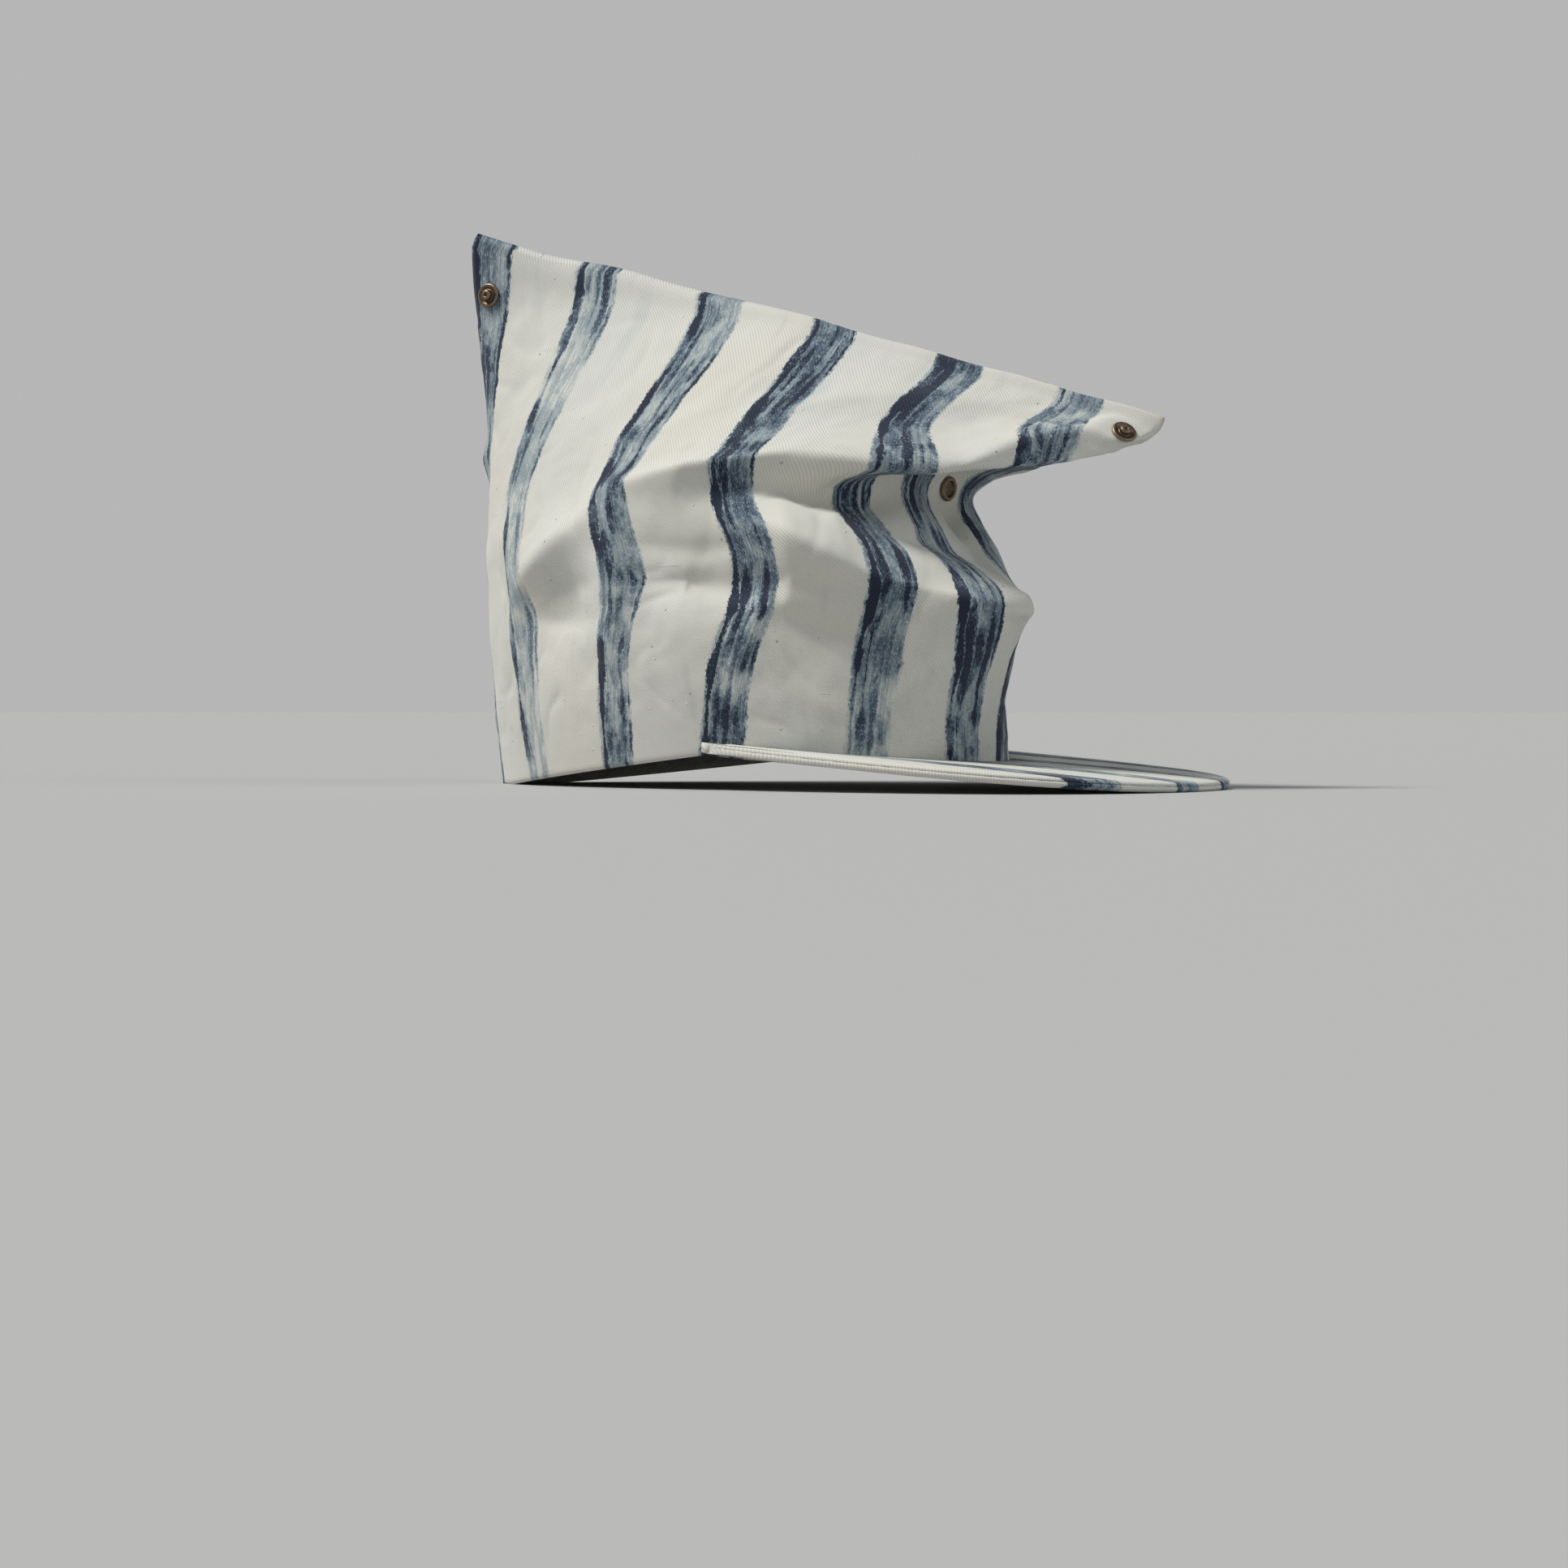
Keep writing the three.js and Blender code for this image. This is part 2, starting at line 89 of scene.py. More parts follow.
# One row for each fold or hollow of the cloth: where its line starts and ends, how far the line bows up
# at its middle, how far it rises out of the cloth, and how far it reaches above and below its line.
FOLD_COLUMNS = ("from_w", "from_height", "to_w", "to_height", "bow", "rise", "reach_up", "reach_down")
FOLD_ROWS = (
    (108, 110, 242, 142, 3, 10, 17, 17),
    (150, 162, 262, 200, 4, 3, 14, 10),
    (160, 121, 262, 113, 2, -8, 10, 9),
    (178, 110, 256, 74, -2, 7, 7, 14),
    (236, 132, 298, 206, 5, 7, 12, 5),
    (242, 112, 318, 160, 0, -7, 9, 9),
    (228, 102, 322, 96, 0, -8, 12, 9),
    (304, 72, 304, 146, 0, -9, 22, 20),
    (232, 82, 322, 72, -3, 6, 5, 10),
    (58, 66, 120, 62, 0, -7, 20, 14),
    (130, 80, 204, 77, 0, -12, 22, 13),
    (195, 66, 250, 48, 0, -7, 16, 16),
    (245, 34, 292, 66, 0, 5, 9, 9),
    (54, 76, 134, 113, 0, 6, 13, 9),
    (330, 150, 440, 118, 4, 5, 14, 10),
    (340, 118, 430, 96, 0, -6, 11, 12),
    (345, 92, 470, 104, 4, 5, 10, 14),
    (380, 60, 470, 72, 0, -5, 18, 18),
    (470, 70, 560, 96, 0, -4, 20, 20),
)
# Smaller creases, and rows that sharpen the main ridges and hollows, in the same columns.
CREASE_ROWS = (
    (150, 176, 176, 196, 0, -0.7, 3, 4),
    (120, 150, 150, 172, 0, 0.6, 4, 5),
    (26, 150, 48, 186, 0, -0.6, 4, 5),
    (200, 176, 250, 196, 0, 0.8, 5, 5),
    (96, 48, 128, 30, 0, -0.8, 7, 8),
    (206, 40, 226, 22, 0, 0.8, 6, 7),
    (112, 116, 204, 135, 1, 3, 4, 12),
    (128, 96, 208, 94, 0, -4.5, 13, 9),
    (186, 106, 250, 78, -2, 3, 5, 8),
    (198, 120, 254, 108, 0, -3, 7, 7),
    (58, 80, 124, 111, 1, 2, 4, 8),
    (68, 76, 118, 78, 0, -2.5, 10, 8),
)
# How round a fold's crest is, how fast it rises along its line, and where folds fade at the tube's ends.
FOLD_CREST = 3
FOLD_SHARPNESS = 0.8
FADE_END = 2
TOP_FADE = 26
HEM_FADE = 30

# The front flap hangs over the dent: its lip's height round the cloth, how much of the overhang it takes
# there, how far that moves it, how far it reaches above and below the lip, and how far from the top fold
# it ends.
FLAP_ROWS = ((200, 134, 0.0), (222, 136, 0.55), (240, 139, 0.95), (262, 146, 1.0), (278, 157, 0.85),
             (290, 174, 0.45), (299, 190, 0.0))
FLAP_SHIFT = (18, 0, -8)
FLAP_REACH_UP = 44
FLAP_REACH_DOWN = 17
FLAP_TOP_FREE = 8

# Small dimples of handled cloth: the size of each layer of noise and its height. Creases run where a wider
# noise is near 0, and only in patches.
DIMPLES = ((15, 0.55), (6.5, 0.22))
CREASE_SIZE = 24
CREASE_NARROWNESS = 7
CREASE_DEPTH = 0.75
CREASE_PATCH_SIZE = 45
CREASE_PATCH_SHARE = 0.35
DIMPLE_HEM_FADE = (8, 24)
DIMPLE_TOP_FADE = (TUBE_HEIGHT - 16, TUBE_HEIGHT - 3)

# The top fold's wave: its height, its length and where it starts up the tube.
RIDGE_WAVE = 1.8
RIDGE_WAVE_LENGTH = 34
RIDGE_FROM = 170

# The hem's rolled edge, and how far apart the crown's inner faces end.
HEM_ROLL = 0.45
HEM_ROLL_HEIGHT = 1.6
INNER_CLEARANCE = 1.6
SLACK_STEP = 2
SAME_HEIGHT = 0.01
WELD = 0.000001

# Brim
BRIM_SLOPE = 0.212
BRIM_GAP = 0.35
TEMPLE_X = 25
TEMPLE_W = 164
BRIM_WIDEST_X = 104
BRIM_HALF_WIDTH = 92
BRIM_FRONT_X = 196
BRIM_TEMPLE_Y = 78
BRIM_FRONT_FULLNESS = 2.3
BRIM_SIDE_FULLNESS = 2.5
BRIM_SIDE_SHARE = 0.42

# The cap stands at rest: heights shear forwards until the rear hem and the brim's front both touch.
HEM_FLAT = 2
BRIM_FLAT = 0.5
REAR_X = -113
REAR_Z = 2

# Where each snap part sits on the cloth, and how far along the ring a fold lies. The cloth is flat out to
# the first distance and free at the second. It bends freely at a fold and is flat from the last distance.
SNAP_COLUMNS = ("node", "shape", "w", "height", "fold")
SNAP_ROWS = (
    ("front_stud", "stud", 287, 196, 13),
    ("front_socket", "socket", 306, 118, None),
    ("back_stud", "stud", 8, 202, -8),
    ("back_socket", "socket", 0, 136, None),
)
SNAP_FLAT = 6.5
SNAP_FREE = 14
SNAP_NORMAL_STEP = 5
SNAP_FOLD_FREE = 5
SNAP_SEAT = 0.15
SNAP_WELD = 0.00001

# Centre line of each brushed stripe: its place round the cloth at each height.
STRIPE_HEIGHTS = (0, 40, 66, 92, 117, 144, 169, 216)
STRIPE_ROWS = (
    (8, 8, 8, 8, 8, 8, 8, 8),
    (60, 62, 62, 60, 58, 57, 57, 58),
    (118, 124, 130, 131, 127, 119, 115, 113),
    (171, 181, 190, 191, 184, 172, 165, 162),
    (230, 238, 243, 244, 238, 226, 218, 215),
    (275, 277, 278, 276, 272, 268, 266, 266),
    (308, 309, 313, 321, 326, 326, 321, 313),
    (356, 357, 360, 364, 366, 366, 364, 358),
    (408, 409, 411, 412, 411, 409, 408, 407),
    (461, 460, 459, 459, 460, 461, 461, 460),
    (513, 514, 515, 515, 514, 512, 511, 510),
    (562, 561, 560, 560, 561, 562, 562, 562),
)
STRIPE_PITCH = 50
BRIM_STRIPE_PITCH = 44
STRIPE_REACH = 12
STRIPE_MAP_SPAN = 16


def named(columns, rows):
    """The rows of a table as dicts of their named columns."""
    return [dict(zip(columns, row)) for row in rows]


RINGS = {name: np.array([row[i] for row in RING_ROWS], float) for i, name in enumerate(RING_COLUMNS)}
FOLDS = named(FOLD_COLUMNS, FOLD_ROWS + CREASE_ROWS)


def smoothstep(value, low, high):
    """0 below low, 1 above high, and a smooth rise between."""
    t = np.clip((value - low) / (high - low), 0, 1)
    return t * t * (3 - 2 * t)


def ring_values(name, heights):
    """A column of the ring table at these heights, on a curve that never overshoots its rows."""
    x, y = RINGS["height"], RINGS[name]
    secant = np.diff(y) / np.diff(x)
    turns = secant[:-1] * secant[1:] <= 0
    total = np.where(turns, 1, secant[:-1] + secant[1:])
    inner = np.where(turns, 0, 2 * secant[:-1] * secant[1:] / total)
    slope = np.concatenate([secant[:1], inner, secant[-1:]])
    i = np.clip(np.searchsorted(x, heights) - 1, 0, len(x) - 2)
    span = x[i + 1] - x[i]
    t = np.clip((heights - x[i]) / span, 0, 1)
    start, end, rise = slope[i] * span, slope[i + 1] * span, y[i + 1] - y[i]
    return y[i] + start * t + (3 * rise - 2 * start - end) * t**2 + (start + end - 2 * rise) * t**3


def tube_table(row_step=0.5, samples=161):
    """Points of the smooth tube on a grid of heights and whole millimetres round it."""
    heights = np.arange(0, TUBE_HEIGHT + row_step / 2, row_step)
    ring = {name: ring_values(name, heights)[:, None] for name in RING_COLUMNS[1:]}
    quarter = np.linspace(0, np.pi / 2, samples)
    angle = np.concatenate([quarter, quarter[-2::-1]])
    rear = np.arange(len(angle)) < samples
    power = np.where(rear, 2 / ring["rear_fullness"], 2 / ring["front_fullness"])
    along = np.clip(np.cos(angle), 0, 1) ** power
    end_x = np.where(rear, ring["back_x"], ring["front_x"])
    end_z = np.where(rear, ring["back_z"], ring["front_z"])
    x = ring["side_x"] + (end_x - ring["side_x"]) * along
    z = ring["side_z"] + (end_z - ring["side_z"]) * along
    lean = (ring["front_y"] - ring["back_y"]) / (ring["front_x"] - ring["back_x"])
    middle = ring["back_y"] + lean * (x - ring["back_x"])
    out = ring["half"] * np.clip(np.sin(angle), 0, 1) ** power
    halves = []
    for side in (-1, 1):
        points = np.stack([x, middle + side * out, z], axis=2)
        steps = np.linalg.norm(np.diff(points, axis=1), axis=2)
        distance = np.concatenate([np.zeros((len(heights), 1)), np.cumsum(steps, axis=1)], axis=1)
        shares = np.linspace(0, 1, HALF_ROUND + 1)
        even = [[np.interp(shares * d[-1], d, p[:, axis]) for axis in range(3)]
                for d, p in zip(distance, points)]
        halves.append(np.array(even).transpose(0, 2, 1))
    return np.concatenate([halves[0], halves[1][:, -2::-1]], axis=1), row_step


TUBE, TUBE_STEP = tube_table()


def tube_point(w, height):
    """Points of the smooth tube, before its folds."""
    w = np.mod(w, ROUND)
    row = np.clip(height, 0, TUBE_HEIGHT) / TUBE_STEP
    i = np.clip(row.astype(int), 0, TUBE.shape[0] - 2)
    j = np.clip(w.astype(int), 0, ROUND - 1)
    s, t = (row - i)[:, None], (w - j)[:, None]
    low = TUBE[i, j] * (1 - t) + TUBE[i, j + 1] * t
    high = TUBE[i + 1, j] * (1 - t) + TUBE[i + 1, j + 1] * t
    return low * (1 - s) + high * s


def surface_normal(point_at, w, height, step=NORMAL_STEP):
    """Outward normals of a cloth surface."""
    along = point_at(w + step, height) - point_at(w - step, height)
    up = (point_at(w, np.minimum(height + step, TUBE_HEIGHT))
          - point_at(w, np.maximum(height - step, 0)))
    normal = np.cross(along, up)
    return normal / np.maximum(np.linalg.norm(normal, axis=1, keepdims=True), 1e-9)


def fold_rise(w, height):
    """How far the folds lift the cloth."""
    rise = np.zeros_like(w)
    for fold in FOLDS:
        line_w, line_height = fold["to_w"] - fold["from_w"], fold["to_height"] - fold["from_height"]
        length = math.hypot(line_w, line_height)
        off_w, off_height = w - fold["from_w"], height - fold["from_height"]
        t = np.clip((off_w * line_w + off_height * line_height) / length**2, 0, 1)
        across = (off_height * line_w - off_w * line_height) / length - fold["bow"] * 4 * t * (1 - t)
        reach = np.where(across > 0, fold["reach_up"], fold["reach_down"])
        crest = np.exp((FOLD_CREST - np.hypot(across, FOLD_CREST)) / reach)
        rise += fold["rise"] * np.sin(np.pi * t) ** FOLD_SHARPNESS * crest
    return (rise * smoothstep(TUBE_HEIGHT - height, FADE_END, TOP_FADE)
            * smoothstep(height, FADE_END, HEM_FADE))


def flap_share(w, height):
    """How much of the front flap's overhang the cloth takes, from 0 to 1. It is 1 on the flap's lip."""
    lip_w, lip_height, size = (np.array(column, float) for column in zip(*FLAP_ROWS))
    above = height - np.interp(w, lip_w, lip_height)
    across = np.where(above > 0, 1 - smoothstep(above, 0, FLAP_REACH_UP),
                      1 - smoothstep(-above, 0, FLAP_REACH_DOWN))
    return across * np.interp(w, lip_w, size) * smoothstep(TUBE_HEIGHT - height, 0, FLAP_TOP_FREE)


def folded_point(w, height):
    """Points of the folded cloth's outer face."""
    w = np.mod(w, ROUND)
    points = tube_point(w, height) + surface_normal(tube_point, w, height) * fold_rise(w, height)[:, None]
    return points + flap_share(w, height)[:, None] * np.array(FLAP_SHIFT)


def snap_seats():
    """Each snap part with its place on the cloth and the way it faces."""
    seats = named(SNAP_COLUMNS, SNAP_ROWS)
    for seat in seats:
        place = np.array([float(seat["w"])]), np.array([float(seat["height"])])
        seat["centre"] = folded_point(*place)[0]
        seat["normal"] = surface_normal(folded_point, *place, SNAP_NORMAL_STEP)[0]
    return seats


SEATS = snap_seats()


def cloth_point(w, height):
    """Points of the cloth's outer face, with its folds and the flats under the snap parts."""
    points = folded_point(w, height)
    for seat in SEATS:
        off_w = np.mod(w - seat["w"] + HALF_ROUND, ROUND) - HALF_ROUND
        distance = np.hypot(off_w, height - seat["height"])
        hold = 1 - smoothstep(distance, SNAP_FLAT, SNAP_FREE)
        if seat["fold"]:
            hold *= smoothstep(np.sign(seat["fold"]) * (seat["fold"] - off_w), 0, SNAP_FOLD_FREE)
        above = (points - seat["centre"]) @ seat["normal"]
        points = points - seat["normal"] * (above * hold)[:, None]
    return points


def crumple(w, height):
    """The small dimples and creases of handled cloth. They end at the hem, the top and the snap parts."""
    radius = ROUND / (2 * math.pi)
    angle = w / radius
    places = np.stack([radius * np.cos(angle), radius * np.sin(angle), height], axis=1)
    rise = np.zeros_like(w)
    for i, place in enumerate(places):
        at = Vector(place)
        crease = max(0.0, 1 - abs(noise.noise(at / CREASE_SIZE)) * CREASE_NARROWNESS)
        share = noise.noise(at / CREASE_PATCH_SIZE + Vector((5, 5, 5))) + CREASE_PATCH_SHARE
        dimples = sum(noise.noise(at / size) * depth for size, depth in DIMPLES)
        rise[i] = dimples - crease * max(0.0, share) * CREASE_DEPTH
    rise *= smoothstep(height, *DIMPLE_HEM_FADE) * (1 - smoothstep(height, *DIMPLE_TOP_FADE))
    for seat in SEATS:
        off_w = np.mod(w - seat["w"] + HALF_ROUND, ROUND) - HALF_ROUND
        rise *= smoothstep(np.hypot(off_w, height - seat["height"]), SNAP_FLAT - 1, SNAP_FREE)
    return rise


def ridge_wave(x):
    """How far the top fold rises and falls along its length."""
    return np.array([noise.noise(Vector((along / RIDGE_WAVE_LENGTH, 3.0, 0.0))) * RIDGE_WAVE
                     for along in x])


def brim_height(x):
    """The brim board falls forwards from the temples."""
    return -BRIM_SLOPE * (x - TEMPLE_X)


SETTLE_SLOPE = (REAR_Z + HEM_FLAT - BRIM_FLAT - brim_height(BRIM_FRONT_X)) / (BRIM_FRONT_X - REAR_X)
ORIGIN_X = BRIM_FRONT_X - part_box("brim")[1].x / MM


def settle(points):
    """From the frame of the rim, in millimetres, to the row frame, in metres."""
    z = points[:, 2] + SETTLE_SLOPE * (points[:, 0] - REAR_X) - REAR_Z - HEM_FLAT
    return np.stack([points[:, 0] - ORIGIN_X, points[:, 1], np.maximum(z, 0)], axis=1) * MM


def open_stretch(height, closed_gap):
    """Where along a ring, from the back to the front, its two sides stand apart."""
    w = np.linspace(0, HALF_ROUND, 151)
    level = np.full_like(w, height)
    gap = np.linalg.norm(cloth_point(w, level) - cloth_point(ROUND - w, level), axis=1)
    apart = w[gap > closed_gap]
    return apart[0], apart[-1]


def stripe_centres(height):
    """The stripes' centre lines at one height, with the next ones beyond the seam on both sides."""
    centres = [np.interp(height, STRIPE_HEIGHTS, row) for row in STRIPE_ROWS]
    return [centres[-1] - ROUND, *centres, centres[0] + ROUND, centres[1] + ROUND]


def stripe_place(w, height):
    """The stripe coordinate of the crown's cloth: a whole number on each stripe's centre line."""
    place = np.zeros_like(w)
    for level in np.unique(height):
        row = height == level
        known, numbers = [], []
        for number, centre in enumerate(stripe_centres(level)):
            known += [centre - STRIPE_REACH, centre + STRIPE_REACH]
            numbers += [number - STRIPE_REACH / STRIPE_PITCH, number + STRIPE_REACH / STRIPE_PITCH]
        place[row] = np.interp(w[row], known, numbers)
    return place


class Shade:
    """A number that varies over a surface. Arithmetic on it adds Math nodes."""

    def __init__(self, finish, socket):
        self.finish, self.socket = finish, socket

    def math(self, operation, *values):
        """This and the values through one Math node."""
        node = self.finish.node("ShaderNodeMath", {"operation": operation},
                                dict(enumerate(values)))
        return Shade(self.finish, node.outputs[0])

    def __add__(self, other):
        return self.math("ADD", self, other)

    def __radd__(self, other):
        return self.math("ADD", other, self)

    def __sub__(self, other):
        return self.math("SUBTRACT", self, other)

    def __rsub__(self, other):
        return self.math("SUBTRACT", other, self)

    def __mul__(self, other):
        return self.math("MULTIPLY", self, other)

    def __rmul__(self, other):
        return self.math("MULTIPLY", other, self)

    def __abs__(self):
        return self.math("ABSOLUTE", self)

    def ramp(self, low, high):
        """0 below low, 1 above high, smooth between. With low above high it falls."""
        node = self.finish.node("ShaderNodeMapRange", {"interpolation_type": "SMOOTHSTEP"},
                                {"Value": self, "From Min": low, "From Max": high})
        return Shade(self.finish, node.outputs[0])

    def wave(self):
        """The sine of this, from 0 to 1."""
        return self.math("SINE", self) * 0.5 + 0.5

    def nearest(self):
        """The nearest whole number."""
        return self.math("ROUND", self)


class Finish:
    """A material in the making: it holds the node tree and adds nodes to it."""

    def __init__(self, name, uniform):
        self.material = bpy.data.materials.new(name)
        self.material.use_nodes = True
        self.tree = self.material.node_tree
        self.shader = self.tree.nodes["Principled BSDF"]
        for socket, value in uniform.items():
            self.shader.inputs[socket].default_value = value

    def node(self, kind, settings=None, inputs=None):
        """A node of this type, with its settings made first and then its sockets filled or linked."""
        made = self.tree.nodes.new(kind)
        for key, value in (settings or {}).items():
            if key == "stops":
                ramp = made.color_ramp.elements
                while len(ramp) < len(value):
                    ramp.new(0.5)
                for element, (position, color) in zip(ramp, value):
                    element.position, element.color = position, (*color, 1)
            else:
                setattr(made, key, value)
        for key, value in (inputs or {}).items():
            if isinstance(value, Shade):
                value = value.socket
            if isinstance(value, bpy.types.NodeSocket):
                self.tree.links.new(value, made.inputs[key])
            else:
                made.inputs[key].default_value = value
        return made

    def shade(self, socket):
        """A socket as a number for arithmetic."""
        return Shade(self, socket)

    def uv(self, name):
        """The two coordinates of a UV map."""
        image = self.node("ShaderNodeUVMap", {"uv_map": name})
        parts = self.node("ShaderNodeSeparateXYZ", {}, {0: image.outputs[0]})
        return self.shade(parts.outputs[0]), self.shade(parts.outputs[1])

    def attribute(self, name):
        """A number kept on the mesh."""
        node = self.node("ShaderNodeAttribute", {"attribute_name": name})
        return self.shade(node.outputs["Fac"])

    def vector(self, x, y, z=0.0):
        """Three numbers as one vector."""
        return self.node("ShaderNodeCombineXYZ", {}, {0: x, 1: y, 2: z}).outputs[0]

    def noise(self, vector, detail=2.0, roughness=0.5, scale=1.0):
        """Noise from 0 to 1 at a vector."""
        node = self.node("ShaderNodeTexNoise", {}, {
            "Vector": vector, "Scale": scale, "Detail": detail, "Roughness": roughness})
        return self.shade(node.outputs[0])

    def specks(self, vector):
        """Distance from the nearest of scattered points."""
        node = self.node("ShaderNodeTexVoronoi", {}, {"Vector": vector, "Scale": 1.0})
        return self.shade(node.outputs["Distance"])

    def mix(self, factor, first, second):
        """Two colours mixed."""
        node = self.node("ShaderNodeMix", {"data_type": "RGBA"})
        for index, value in ((0, factor), (6, first), (7, second)):
            if isinstance(value, Shade):
                value = value.socket
            if isinstance(value, bpy.types.NodeSocket):
                self.tree.links.new(value, node.inputs[index])
            elif index:
                node.inputs[index].default_value = (*value, 1)
            else:
                node.inputs[index].default_value = value
        return node.outputs[2]

    def feed(self, socket, value):
        """Links a varying value to one of the shader's sockets."""
        self.tree.links.new(value.socket if isinstance(value, Shade) else value,
                            self.shader.inputs[socket])

    def bump(self, height, distance):
        """Feeds the shader's normal from a relief, whose height of 1 stands this many metres."""
        node = self.node("ShaderNodeBump", {}, {"Height": height, "Distance": distance, "Strength": 1.0})
        self.feed("Normal", node.outputs[0])


# The twill: the way across its ribs and across its picks, the picks' pitch as a share of the ribs', how
# much of the relief they make, and the relief's middle.
RIB_WAY = (0.72, 0.69)
PICK_WAY = (0.55, -0.83)
PICK_PITCH = 0.52
PICK_SHARE = 0.25
TWILL_MEAN = 0.5


def twill(finish, w, height, pitch):
    """The relief of a diagonal twill, from 0 to 1, with uneven yarns. Coordinates in millimetres."""
    wobble = finish.noise(finish.vector(w * 0.09, height * 0.09)) * 2.4
    yarn = finish.noise(finish.vector(w * 0.8, height * 0.25, 3.0)) * 1.6
    rib_x, rib_y = RIB_WAY
    pick_x, pick_y = PICK_WAY
    turn = 2 * math.pi / pitch
    rib = ((w * rib_x + height * rib_y) * turn + wobble + yarn).wave()
    pick = ((w * pick_x + height * pick_y) * (turn / PICK_PITCH) + yarn * 2.0).wave()
    return rib * (1 - PICK_SHARE) + pick * PICK_SHARE


# The stripes that took the least and the most indigo, counted from the back along the right side.
PALE_STRIPE = 2
PALE_LOSS = 0.38
DARK_STRIPE = 4
DARK_GAIN = 0.18
# How far a stripe's noise moves from one stripe to the next, its least half width and how much that varies.
STRIPE_SEED_STEP = 17.3
STRIPE_HALF_WIDTH = 8.0
STRIPE_WIDTH_RANGE = 3.0
# The brush strokes of a stripe: offset from its centre line, half width and softness in millimetres, and
# how dark they are at most and at least.
STROKES = (
    (-7.0, 2.0, 0.6, 1.45, 0.45),
    (-3.2, 2.0, 1.4, 0.80, 0.18),
    (1.2, 1.7, 1.6, 0.66, 0.12),
    (5.2, 1.7, 1.4, 0.84, 0.16),
    (8.6, 0.9, 0.9, 0.85, 0.05),
)


def stripe_paint(finish, place, along, thread):
    """How thickly the indigo was brushed on, from 0 for bare cloth to 1 for the darkest line.
    place is the stripe coordinate, along the distance along the stripe in millimetres, and thread the
    uneven take-up of the cloth's yarns."""
    number = place.nearest()
    seed = number * STRIPE_SEED_STEP

    def along_noise(scale, phase, detail=2.0):
        return finish.noise(finish.vector(seed, along * scale, phase), detail)

    def is_stripe(chosen):
        return 1.0 - abs(number - chosen).ramp(0.2, 0.8)

    across = (place - number) * STRIPE_PITCH + (along_noise(0.022, 31.0) - 0.5) * 4.0
    ragged = finish.noise(finish.vector(across * 1.1, along * 0.55, seed), 3.0, 0.75) - 0.5
    hairs = finish.noise(finish.vector(across * 1.7, along * 0.03, seed), 2.0, 0.7)
    patches = finish.noise(finish.vector(across * 0.14, along * 0.07, seed + 3.0), 3.0, 0.65)
    load = along_noise(0.013, 41.0, 1.0).ramp(0.40, 0.60)
    half = STRIPE_HALF_WIDTH + along_noise(0.022, 5.0) * STRIPE_WIDTH_RANGE
    inside = (half + ragged * 4.0 - abs(across)).ramp(-0.8, 1.2)
    wash = 0.06 + patches.ramp(0.36, 0.64) * 0.20 + hairs.ramp(0.42, 0.62) * 0.10 + load * 0.10
    paint = inside * wash
    for i, (offset, width, soft, most, least) in enumerate(STROKES):
        width = width * (0.25 + along_noise(0.036, 50.0 + i, 1.0).ramp(0.33, 0.63) * 1.1)
        off = abs(across - offset - (along_noise(0.028, 60.0 + i) - 0.5) * 2.4)
        stroke = (width + ragged * 3.2 + (hairs - 0.5) * 1.8 - off).ramp(-0.5 * soft, soft)
        depth = (along_noise(0.02, 70.0 + i) * 0.6 + patches * 0.4).ramp(0.42, 0.58)
        dark = least + depth * (most - least)
        stroke = stroke * dark * (0.66 + load * 0.40)
        paint = paint.math("MAXIMUM", paint, stroke) + stroke * wash * 0.35
    take_up = 1.0 - is_stripe(PALE_STRIPE) * PALE_LOSS + is_stripe(DARK_STRIPE) * DARK_GAIN
    return paint * take_up * (0.50 + thread * 0.62)


# Colours and relief of the denim that the settings leave out.
NEP_COLOR = (0.80, 0.80, 0.76)
SPECK_COLOR = (0.13, 0.12, 0.11)
SHADOW_COLOR = (0.12, 0.13, 0.13)
DENIM_RELIEF = 0.00022
METAL_RELIEF = 0.00003


